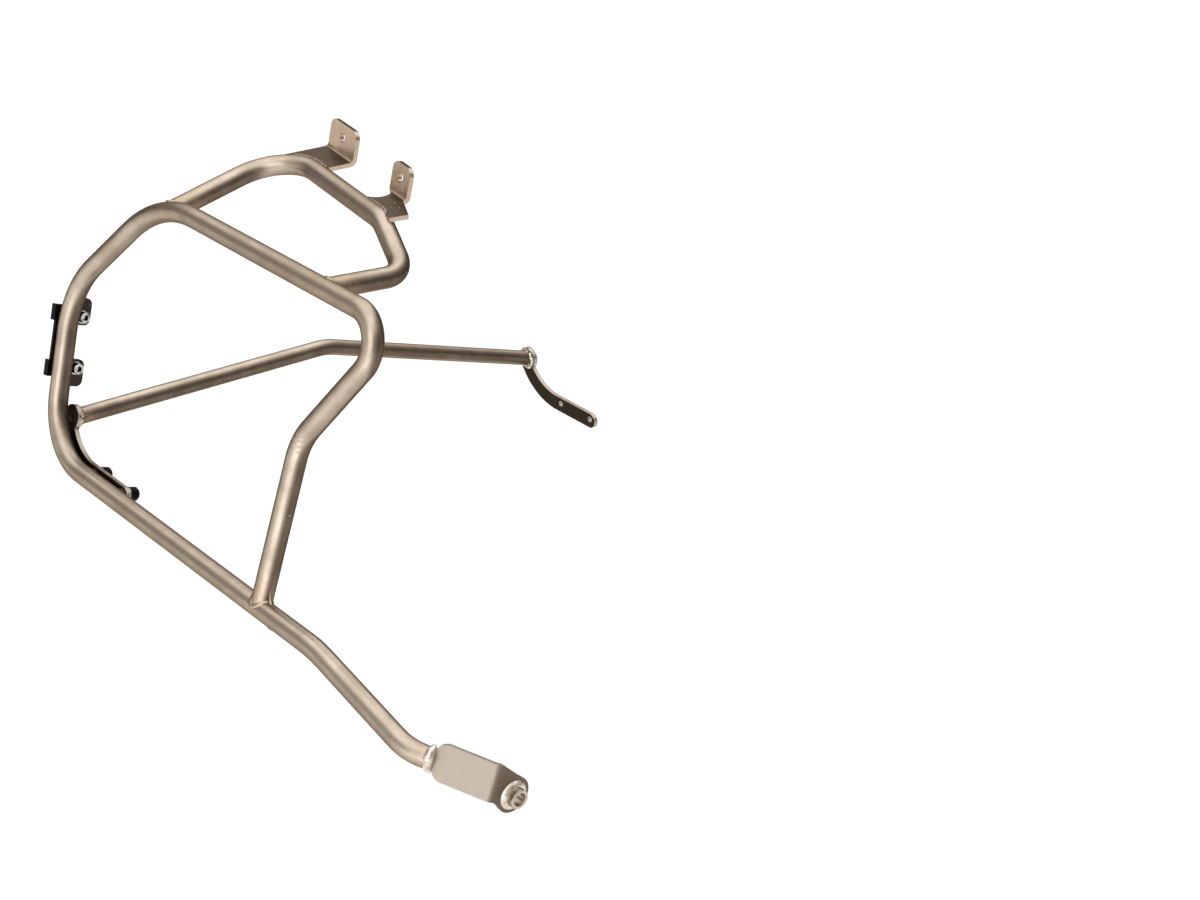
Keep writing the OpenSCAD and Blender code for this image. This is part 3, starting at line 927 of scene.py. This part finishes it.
@dataclass
class CadDresser:
    """Gives the carried-over CAD nodes their finish and their broken edges.

    Args:
        finishes: Materials of the part.
        joined: Distance within which points of a node count as one, in metres.
        sharp: Angle from which an edge is broken, in degrees.
    """

    finishes: Finishes
    joined: float = 0.000004
    sharp: float = 38.0

    def dress(self, name: str, material: bpy.types.Material, edge: float) -> None:
        """Dresses one node.

        Args:
            name: Name of the CAD node.
            material: Its finish.
            edge: Width of its broken edges in metres, or nought for none.
        """
        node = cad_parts[name]
        node.data.materials.clear()
        node.data.materials.append(material)
        if edge > 0:
            node.modifiers.new("joined", "WELD").merge_threshold = self.joined
            bevel = node.modifiers.new("broken_edge", "BEVEL")
            bevel.width = edge
            bevel.segments = 2
            bevel.limit_method = "ANGLE"
            bevel.angle_limit = math.radians(self.sharp)
            bevel.harden_normals = False
            node.modifiers.new("even_shade", "WEIGHTED_NORMAL").keep_sharp = True
        LOG.info("dressed %s", name)

    def dress_all(self) -> None:
        """Dresses every node of the part."""
        f = self.finishes
        for names, material, edge in (
            ("main_tube arm_tube crossbar_tube", f.tube, 0.0),
            ("rear_mount_ear front_mount_ear", f.ear, 0.0004),
            ("lower_mount_plate", f.plate, 0.0005),
            ("lower_bush", f.bush, 0.0005),
            ("near_end_plate far_end_plate", f.end, 0.0005),
            ("rear_boss front_boss", f.boss, 0.0),
            ("upper_lock_lug lower_lock_lug", f.lug, 0.0004),
            ("lock_plate", f.black, 0.0005),
            ("rear_plate_screw front_plate_screw", f.screw, 0.0002),
            ("rear_plate_washer front_plate_washer", f.washer, 0.00025),
            ("upper_lock_washer lower_lock_washer upper_lock_screw lower_lock_screw", f.zinc,
             0.00025),
            ("upper_lock_nut lower_lock_nut", f.zinc, 0.00025),
        ):
            for name in names.split():
                self.dress(name, material, edge)


@dataclass
class RingWelds:
    """Weld round the foot of the ring's leg, and the marks beside it.

    Lengths are in millimetres and places in the ring's axes.

    Args:
        finishes: Materials of the part.
        foot: Foot of the leg on the lower bar's axis.
        leg: Direction of the leg upwards.
        bar: Direction of the lower bar forwards.
        tube_r: Radius of the tube.
        bead_r: Half width of the weld.
        fin_from: Height of the fin's lower end above the foot.
        fin_height: Height of the fin.
        fin_reach: Distances of the fin's inner and outer edge from the leg's axis.
        fin_root: Added reach of its lower end.
        fin_half: Half thickness of its lower end.
        mark_at: Distance of the tool's mark in front of the leg.
        mark_out: Direction in which the mark stands off the bar.
        mark_size: Half sizes of the mark along, across and off the bar.
        mark_sunk: Depth of its middle in the bar's skin.
    """

    finishes: Finishes
    foot: Triple = (357.0, 0.0, -56.4586)
    leg: Triple = (-0.0103117, 0.0, 0.999947)
    bar: Triple = (0.999929, 0.0, -0.011915)
    tube_r: float = 9.0
    bead_r: float = 2.0
    fin_from: float = 7.4
    fin_height: float = 12.6
    fin_reach: tuple[float, float] = (8.2, 9.05)
    fin_root: float = 6.4
    fin_half: float = 1.5
    mark_at: float = 22.7
    mark_out: Triple = (0.0, -0.31, -0.95)
    mark_size: Triple = (3.6, 3.0, 1.15)
    mark_sunk: float = 0.35

    def seam(self) -> Seam:
        """Finds the saddle line where the leg's skin meets the bar's.

        Returns:
            A closed seam.
        """
        leg, bar = Vector(self.leg), Vector(self.bar)
        across = leg.cross(bar).normalized()
        front = across.cross(leg)
        rise = leg - bar * leg.dot(bar)
        radius = self.tube_r + 0.15
        seam = Seam(closed=True)
        for cos, sin in circle(120):
            out = front * cos + across * sin
            start = out * (radius * 0.985)
            flat = start - bar * start.dot(bar)
            part = flat.dot(rise)
            room = part * part - rise.dot(rise) * (flat.dot(flat) - radius * radius)
            hit = start + leg * ((-part + math.sqrt(max(0.0, room))) / rise.dot(rise))
            away = (hit - bar * hit.dot(bar)).normalized()
            seam.add(RingAxes.point(Vector(self.foot) + hit + (out + away) * 0.25),
                     RingAxes.heading(out + away))
        return seam

    def build(self) -> list[bpy.types.Object]:
        """Builds the weld, the fin of weld metal at its front and the bending tool's mark.

        Returns:
            The new pieces.
        """
        bead = WeldBead(self.bead_r * MM, crown=0.34, ripple=0.05, seed=3)
        pieces = (bead.mesh("leg_foot_weld", self.seam()), self.fin(), self.tool_mark())
        return [finish(piece, self.finishes.tube, Slot.FRAME) for piece in pieces]

    def fin(self) -> bpy.types.Object:
        """Builds the small upright fin in the corner in front of the leg.

        Returns:
            The new piece.
        """
        bar = Vector(self.bar)
        inner, outer = self.fin_reach
        rings = []
        for share in steps(0.0, 1.0, 16):
            reach = outer + self.fin_root * (1 - share) ** 2.4
            half = self.fin_half * (1 - 0.72 * share)
            rise = self.fin_from + self.fin_height * share
            middle = Vector(self.foot) + Vector(self.leg) * rise + bar * ((inner + reach) / 2)
            rings.append([RingAxes.point(middle + bar * ((reach - inner) / 2 * cos)
                                         + Vector((0.0, half * sin, 0.0)))
                          for cos, sin in circle(16)])
        return lofted("leg_foot_fin", rings, False)

    def tool_mark(self) -> bpy.types.Object:
        """Builds the low mound that the bending tool left under the bar.

        Returns:
            The new piece.
        """
        out, bar = Vector(self.mark_out).normalized(), Vector(self.bar)
        across = out.cross(bar)
        middle = Vector(self.foot) + bar * self.mark_at + out * (self.tube_r - self.mark_sunk)
        length, width, height = self.mark_size
        rings = []
        for turn in steps(0.0, math.pi, 12):
            size = max(0.02, math.sin(turn))
            rings.append([RingAxes.point(middle - bar * (length * math.cos(turn))
                                         + across * (width * size * cos)
                                         + out * (height * size * sin))
                          for cos, sin in circle(16)])
        return lofted("bend_tool_mark", rings, False)


@dataclass
class ArmWelds:
    """Welds of the upper arm: its two feet on the ring, and the two ears along it.

    Lengths are in millimetres, and places and directions in the ring's axes.

    Args:
        finishes: Materials of the part.
        feet: Feet of the arm on the ring's axis, each with the arm's next corner.
        tube_r: Radius of the tube.
        base_dir: Direction of the arm's base, from its rear corner forwards.
        ear_dir: Direction in which the ears reach inwards.
        ear_normal: Upward normal of the ears.
        ear_faces: Heights of an ear's lower and upper face.
        ear_spans: Start and end of each ear's weld along the base.
    """

    finishes: Finishes
    feet: tuple[tuple[Triple, Triple], ...] = (
        ((108.699, 0.0, 207.368), (108.699, 107.7, 274.368)),
        ((338.89, 0.0, 210.889), (338.89, 77.2, 229.568)),
    )
    tube_r: float = 9.0
    base_dir: Triple = (0.988565, -0.128407, -0.0790628)
    ear_dir: Triple = (0.148153, 0.924762, 0.350521)
    ear_normal: Triple = (0.0281049, -0.358226, 0.933212)
    ear_faces: tuple[float, float] = (3.0, 7.0)
    ear_spans: tuple[tuple[float, float], ...] = ((21.5, 66.5), (148.5, 190.5))

    def ear_seam(self, arm: NodeSurface, span: tuple[float, float], level: float,
                 facing: float) -> Seam:
        """Finds the line where one face of an ear meets the arm.

        Args:
            arm: Skin of the arm's tube.
            span: Start and end of the weld along the arm's base.
            level: Height of the face.
            facing: 1 for the upper face and -1 for the lower one.

        Returns:
            An open seam.
        """
        inward, normal = Vector(self.ear_dir), Vector(self.ear_normal)
        corner = Vector(self.feet[0][1]) + inward * 19.0 + normal * (level + 0.3 * facing)
        seam = Seam()
        for along in steps(*span, 60):
            start = RingAxes.point(corner + Vector(self.base_dir) * along)
            seam.add_corner(arm.struck(start, RingAxes.heading(-inward)),
                            RingAxes.heading(normal * facing))
        return seam

    def build(self) -> list[bpy.types.Object]:
        """Builds all welds of the arm.

        Returns:
            The new pieces.
        """
        ring, arm = NodeSurface("main_tube"), NodeSurface("arm_tube")
        made = []
        for k, (foot, corner) in enumerate(self.feet):
            away = (Vector(corner) - Vector(foot)).normalized()
            seam = round_seam(ring, RingAxes.point(foot), RingAxes.heading(away), self.tube_r, 25.0)
            bead = WeldBead(1.6 * MM, crown=0.55, ripple=0.08, seed=11 + k)
            piece = bead.mesh(("arm_rear_foot_weld", "arm_front_foot_weld")[k], seam)
            made.append(finish(piece, self.finishes.tube, Slot.FRAME))
        for k, span in enumerate(self.ear_spans):
            for side, facing in enumerate((-1.0, 1.0)):
                name = f"{('rear', 'front')[k]}_ear_{('lower', 'upper')[side]}_weld"
                bead = WeldBead(1.5 * MM, crown=0.7, ripple=0.2, seed=20 + 2 * k + side)
                piece = bead.mesh(name, self.ear_seam(arm, span, self.ear_faces[side], facing))
                made.append(finish(piece, self.finishes.dull_weld, Slot.EAR))
        return made


@dataclass
class CrossbarWelds:
    """Welds between the crossbar's ends and the two end plates.

    Args:
        finishes: Materials of the part.
        start: Middle of the crossbar's near end, in millimetres of the scene.
        slope: Rise of the crossbar's near half, in degrees.
        middle: Place of the vehicle's middle across it, in millimetres of the scene.
        bar_r: Radius of the crossbar in millimetres.
    """

    finishes: Finishes
    start: Triple = (-622.75, -27.67, 78.77)
    slope: float = 8.5
    middle: float = 248.7485
    bar_r: float = 8.0

    def build(self) -> list[bpy.types.Object]:
        """Builds the two welds, the far one mirrored about the vehicle's middle.

        Returns:
            The new pieces.
        """
        slope = math.radians(self.slope)
        x, y, z = self.start
        made = []
        for k, (name, side, across) in enumerate((("near_end", 1.0, y),
                                                  ("far_end", -1.0, 2 * self.middle - y))):
            away = Vector((0.0, side * math.cos(slope), math.sin(slope))).normalized()
            seam = round_seam(NodeSurface(name + "_plate"), Vector((x, across, z)) * MM, away,
                              self.bar_r, 12.0)
            bead = WeldBead(4.5 * MM, crown=0.72, pitch=4.2 * MM, ripple=0.36, seed=31 + k)
            made.append(finish(bead.mesh(name + "_weld", seam), self.finishes.lumpy_weld,
                               Slot.FRAME))
        return made


@dataclass
class LowerMount:
    """Welds of the lower mount: the strip on the strut's end and the bush in its flange.

    Lengths are in millimetres, and places and directions in the ring's axes.

    Args:
        finishes: Materials of the part.
        corner: Last corner of the strut's axis.
        along: Direction of the strut's end.
        inward: Direction across it, towards the vehicle.
        strip_start: Distance of the strip's rounded end from the corner.
        strip_mid: Height of the strip's middle above the strut's axis.
        strip_half: Half width of the strip.
        corner_r: Radius of the strip's rounded corners.
        face: Distance of the strip's outer face from the strut's axis.
        tube_r: Radius of the tube.
        tube_end: Distance of the tube's end from the corner.
        bush: Middle of the bush at the flange.
        bush_r: Radius of the bush.
    """

    finishes: Finishes
    corner: Triple = (565.5, 0.0, -80.5)
    along: Triple = (0.887815, 0.4602, 0.0)
    inward: Triple = (-0.4602, 0.887815, 0.0)
    strip_start: float = 22.5
    strip_mid: float = 1.4
    strip_half: float = 15.5
    corner_r: float = 11.0
    face: float = 3.0
    tube_r: float = 9.0
    tube_end: float = 47.5
    bush: Triple = (633.25, 53.9953, -90.0)
    bush_r: float = 8.0

    def at(self, run: float, depth: float, rise: float) -> Vector:
        """Gives a point by its run along the strut's end, its depth inwards and its rise."""
        place = Vector(self.corner) + Vector(self.along) * run + Vector(self.inward) * depth
        return RingAxes.point(place + Vector((0.0, 0.0, rise)))

    def end_seam(self, reach: float, depth: float, run: float, arch: float = 0.0) -> Seam:
        """Follows the strip's rounded end.

        Args:
            reach: Half length of the seam along the rounded end.
            depth: Depth of the seam's ends from the strut's axis, negative outwards.
            run: Shift of the seam along the strut.
            arch: Distance by which its middle stands further out than its ends.

        Returns:
            An open seam.
        """
        facing = RingAxes.heading(-Vector(self.along) * 0.5 - Vector(self.inward))
        straight = self.strip_half - self.corner_r
        seam = Seam()
        for s in steps(-reach, reach, 60):
            turn = max(0.0, abs(s) - straight) / self.corner_r
            rise = math.copysign(min(abs(s), straight) + self.corner_r * math.sin(turn), s)
            back = self.strip_start + self.corner_r * (1 - math.cos(turn)) + run
            outward = depth - arch * (1.0 - (s / reach) ** 2)
            seam.add(self.at(back, outward, self.strip_mid + rise), facing)
        return seam

    def side_seam(self, side: float) -> Seam:
        """Follows the tube along the strip's back.

        Args:
            side: 1 for the tube's upper side and -1 for its lower one.

        Returns:
            An open seam.
        """
        edge = math.sqrt(self.tube_r ** 2 - 1.0) + 0.3
        facing = RingAxes.heading(Vector((0, 0, side)) - Vector(self.inward) * 0.8)
        seam = Seam()
        for run in steps(self.strip_start + 2.0, self.tube_end - 1.0, 40):
            seam.add(self.at(run, 0.9, side * edge), facing)
        return seam

    def bush_seam(self) -> Seam:
        """Follows the bush round its foot on the flange.

        Returns:
            A closed seam.
        """
        ring = Seam(closed=True)
        for cos, sin in circle(96):
            out = Vector((0.0, cos, sin))
            place = Vector(self.bush) + out * (self.bush_r + 1.7) + Vector((0.1, 0, 0))
            ring.add(RingAxes.point(place), RingAxes.heading(out + Vector((1.0, 0, 0))))
        return ring

    def build(self) -> list[bpy.types.Object]:
        """Builds the welds of the lower mount.

        Returns:
            The new pieces.
        """
        end = WeldBead(3.0 * MM, pitch=2.6 * MM, ripple=0.14, seed=41)
        cover = WeldBead(3.4 * MM, 1.0, 3.4 * MM, 0.03, 42, fat=0.3, fat_at=0.55)
        made = [
            end.mesh("strip_end_weld", self.end_seam(12.5, -self.face + 0.4, -2.6)),
            cover.mesh("strip_cover_weld", self.end_seam(11.5, -2.8, -2.0, 3.6)),
            WeldBead(1.5 * MM, seed=44).mesh("strip_upper_weld", self.side_seam(1.0)),
            WeldBead(1.5 * MM, seed=42).mesh("strip_lower_weld", self.side_seam(-1.0)),
            WeldBead(3.6 * MM, 0.6, ripple=0.04, seed=47).mesh("bush_weld", self.bush_seam()),
        ]
        return [finish(piece, self.finishes.smooth_weld, Slot.PLATE) for piece in made]


@dataclass
class LugWelds:
    """Welds of the two lugs on the rear member, in millimetres of its axes.

    Args:
        finishes: Materials of the part.
        middle: Height of the middle between the lugs.
        half_pitch: Distance of each lug's screw from there.
        lug_near: Reach of a lug from its screw towards the middle.
        lug_far: Reach of a lug from its screw away from the middle.
        lug_face: Place of the lugs' front face.
    """

    finishes: Finishes
    middle: float = 102.4
    half_pitch: float = 24.0
    lug_near: float = 8.0
    lug_far: float = 17.5
    lug_face: float = -5.1

    def build(self) -> list[bpy.types.Object]:
        """Builds a weld along the front face of each lug.

        Returns:
            The new pieces.
        """
        tube = NodeSurface("main_tube")
        low = self.half_pitch - self.lug_near + 1.5
        high = self.half_pitch + self.lug_far - 3.0
        made = []
        for side, name in ((1, "upper_lug_weld"), (-1, "lower_lug_weld")):
            seam = Seam()
            for rise in steps(low, high, 40):
                start = MemberAxes.point((self.lug_face + 0.3, 22.0, self.middle + side * rise))
                seam.add_corner(tube.struck(start, MemberAxes.heading((0, -1, 0))),
                                MemberAxes.heading((1, 0, 0)))
            piece = WeldBead(1.3 * MM, seed=51 + side).mesh(name, seam)
            made.append(finish(piece, self.finishes.dull_weld, Slot.FRAME))
        return made


@dataclass
class Spatter:
    """Small drops of weld metal that stayed on the sheets near the welds.

    Args:
        finishes: Materials of the part.
        seed: Number that varies the drops.
        drops: For each sheet its node and slot, and each drop's place across and down the
            photograph's frame with its size in millimetres.
    """

    finishes: Finishes
    seed: int = 5
    drops: tuple[tuple[str, Slot, tuple[Triple, ...]], ...] = (
        ("lower_mount_plate", Slot.PLATE,
         ((482.2, 770.6, 0.6), (484.0, 772.6, 0.45), (462.0, 762.0, 0.25))),
        ("rear_mount_ear", Slot.EAR,
         ((321.5, 160.4, 0.35), (325.8, 163.2, 0.3), (331.6, 165.8, 0.35),
          (330.4, 152.6, 0.25), (337.5, 158.2, 0.25))),
        ("front_mount_ear", Slot.EAR,
         ((394.5, 203.0, 0.5), (399.5, 208.0, 0.5), (391.2, 207.4, 0.3),
          (396.4, 211.2, 0.35), (387.5, 199.4, 0.3), (401.8, 203.6, 0.3))),
    )

    def build(self) -> list[bpy.types.Object]:
        """Builds the drops, one piece for each sheet.

        Returns:
            The new pieces.
        """
        chance = random.Random(self.seed)
        made = []
        for node, slot, places in self.drops:
            surface = NodeSurface(node)
            shape = bmesh.new()
            for across, down, size in places:
                found = surface.struck(Vector(PhotoCamera.eye), PhotoCamera.line(across, down))
                if found is None:
                    continue
                place, facing = found
                turn = facing.to_track_quat("Z", "Y").to_matrix().to_4x4()
                flat = Matrix.Diagonal((1.0, 0.8 + 0.4 * chance.random(), 0.6, 1.0))
                bmesh.ops.create_icosphere(shape, subdivisions=2, radius=size * MM,
                                           matrix=Matrix.Translation(place) @ turn @ flat)
            made.append(finish(as_object(node + "_drops", shape), self.finishes.drop, slot))
        return made


class PhotoCamera:
    """The place from which the photograph was taken, and its frame of 1200 by 900."""

    eye: Triple = (0.989614, -0.973644, 0.794826)
    right: Triple = (0.662953, 0.732907, 0.152777)
    up: Triple = (-0.355007, 0.128085, 0.926048)
    middle: tuple[float, float] = (600.0, 450.0)
    sensor: float = 36.0
    lens: float = 63.0

    @classmethod
    def line(cls, across: float, down: float) -> Vector:
        """Gives the heading from the camera through one place of the frame.

        Args:
            across: Place across the frame.
            down: Place down the frame.

        Returns:
            The heading.
        """
        right, up = Vector(cls.right).normalized(), Vector(cls.up).normalized()
        away = cls.lens / cls.sensor * 2 * cls.middle[0]
        return (up.cross(right) * away + right * (across - cls.middle[0])
                - up * (down - cls.middle[1])).normalized()

    @classmethod
    def build(cls) -> None:
        """Stands the camera there."""
        lens = bpy.data.cameras.new("photo_camera")
        lens.lens = cls.lens
        lens.sensor_width = cls.sensor
        lens.sensor_fit = "HORIZONTAL"
        lens.clip_start = 0.05
        lens.clip_end = 100.0
        camera = bpy.data.objects.new("photo_camera", lens)
        bpy.context.scene.collection.objects.link(camera)
        right = Vector(cls.right).normalized()
        back = right.cross(Vector(cls.up)).normalized()
        turn = Matrix((right, back.cross(right), back)).transposed()
        camera.matrix_world = Matrix.LocRotScale(Vector(cls.eye), turn, None)
        bpy.context.scene.camera = camera


@dataclass
class Studio:
    """Pale floor and soft light.

    Args:
        floor_height: Height of the floor in metres.
        floor_size: Width of the floor in metres.
        floor_colour: Colour of the floor.
        suns: Broad even lamps: name, direction that the light comes from, strength, and
            apparent width in degrees.
        strip_place: Place of the long low lamp whose light runs along the tubes.
        strip_aim: Place that it shines at.
        strip_size: Length and width of that lamp in metres.
        strip_power: Power of that lamp.
        glows: Bright parts of the surround: direction, range of turning, and share.
        dark: Colour of the surround away from them.
        bright: Colour of the surround in them.
    """

    floor_height: float = -0.45
    floor_size: float = 60.0
    floor_colour: Colour = (0.93, 0.93, 0.93)
    suns: tuple[tuple[str, Triple, float, float], ...] = (
        ("key_lamp", (0.42, -0.88, 0.34), 0.75, 48.0),
        ("fill_lamp", (-0.12, 0.12, 1.0), 1.55, 110.0),
    )
    strip_place: Triple = (0.30, -1.30, -0.26)
    strip_aim: Triple = (-0.35, 0.0, 0.15)
    strip_size: tuple[float, float] = (1.5, 0.40)
    strip_power: float = 2.6
    glows: tuple[tuple[Triple, float, float, float], ...] = (
        ((0.0, 0.0, 1.0), 0.35, 0.92, 1.0),
        ((-0.1, -0.93, 0.30), 0.45, 0.98, 0.55),
    )
    dark: Colour = (0.19, 0.165, 0.15)
    bright: Colour = (0.90, 0.885, 0.87)

    def lay_floor(self) -> None:
        """Lays the wide pale floor below the part."""
        shape = bmesh.new()
        half = self.floor_size / 2
        corners = [(-half, -half), (half, -half), (half, half), (-half, half)]
        shape.faces.new([shape.verts.new((x, y, self.floor_height)) for x, y in corners])
        floor = as_object("studio_floor", shape)
        mix = Recipe("floor_paper", self.floor_colour, 0.0, 0.9)
        mix.shader.inputs["Specular IOR Level"].default_value = 0.0
        floor.data.materials.append(mix.material)

    def add_lamp(self, name: str, kind: str, power: float, source: Vector) -> bpy.types.Object:
        """Adds one lamp.

        Args:
            name: Name of the lamp.
            kind: Kind of the lamp.
            power: Strength of a sun or power of a lamp with an area.
            source: Direction that its light comes from.

        Returns:
            The lamp's object.
        """
        lamp = bpy.data.lights.new(name, kind)
        lamp.energy = power
        made = bpy.data.objects.new(name, lamp)
        made.rotation_euler = source.to_track_quat("Z", "Y").to_euler()
        bpy.context.scene.collection.objects.link(made)
        return made

    def add_lamps(self) -> None:
        """Adds the broad lamps and the long low one."""
        for name, source, strength, spread in self.suns:
            sun = self.add_lamp(name, "SUN", strength, Vector(source))
            sun.data.angle = math.radians(spread)
        place = Vector(self.strip_place)
        strip = self.add_lamp("strip_lamp", "AREA", self.strip_power,
                              place - Vector(self.strip_aim))
        strip.data.shape = "RECTANGLE"
        strip.data.size, strip.data.size_y = self.strip_size
        strip.location = place
        strip.visible_camera = False

    def light_world(self) -> None:
        """Sets a soft surround, bright overhead and on the side of the main lamp."""
        world = bpy.data.worlds.new("studio_surround")
        world.use_nodes = True
        bpy.context.scene.world = world
        tree = world.node_tree
        place = tree.nodes.new("ShaderNodeTexCoord")
        widest = tree.nodes.new("ShaderNodeMath")
        widest.operation = "MAXIMUM"
        for k, (heading, low, high, share) in enumerate(self.glows):
            dot = tree.nodes.new("ShaderNodeVectorMath")
            dot.operation = "DOT_PRODUCT"
            tree.links.new(place.outputs["Generated"], dot.inputs[0])
            dot.inputs[1].default_value = Vector(heading).normalized()
            shift = tree.nodes.new("ShaderNodeMapRange")
            shift.interpolation_type = "SMOOTHSTEP"
            for key, number in (("From Min", low), ("From Max", high), ("To Max", share)):
                shift.inputs[key].default_value = number
            tree.links.new(dot.outputs["Value"], shift.inputs["Value"])
            tree.links.new(shift.outputs[0], widest.inputs[k])
        ramp = tree.nodes.new("ShaderNodeValToRGB")
        tree.links.new(widest.outputs[0], ramp.inputs[0])
        stops = ramp.color_ramp.elements
        stops[0].position, stops[0].color = 0.0, (*self.dark, 1.0)
        stops[1].position, stops[1].color = 1.0, (*self.bright, 1.0)
        tree.links.new(ramp.outputs[0], tree.nodes["Background"].inputs["Color"])
        tree.nodes["Background"].inputs["Strength"].default_value = 1.0

    def build(self) -> None:
        """Builds the whole studio."""
        self.lay_floor()
        self.add_lamps()
        self.light_world()
        bpy.context.scene.view_settings.view_transform = "Standard"
        LOG.info("studio ready")


def main() -> None:
    """Builds every piece in order."""
    logging.basicConfig(level=logging.INFO, format="%(name)s: %(message)s")
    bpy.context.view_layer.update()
    heat = (
        (RingAxes.point((357.0, 0.0, -48.0)), 0.030),
        (RingAxes.point((108.7, 9.0, 213.0)), 0.032),
        (RingAxes.point((338.9, 9.0, 213.0)), 0.032),
        (RingAxes.point((584.0, 10.0, -80.5)), 0.024),
        (RingAxes.point((12.5, 18.0, -17.0)), 0.022),
    )
    finishes = Finishes(heat)
    CadDresser(finishes).dress_all()
    for assembly in (RingWelds, ArmWelds, CrossbarWelds, LowerMount, LugWelds, Spatter):
        pieces = assembly(finishes).build()
        LOG.info("%s: %d pieces", assembly.__name__, len(pieces))
    PhotoCamera.build()
    Studio().build()


if __name__ == "__main__":
    main()
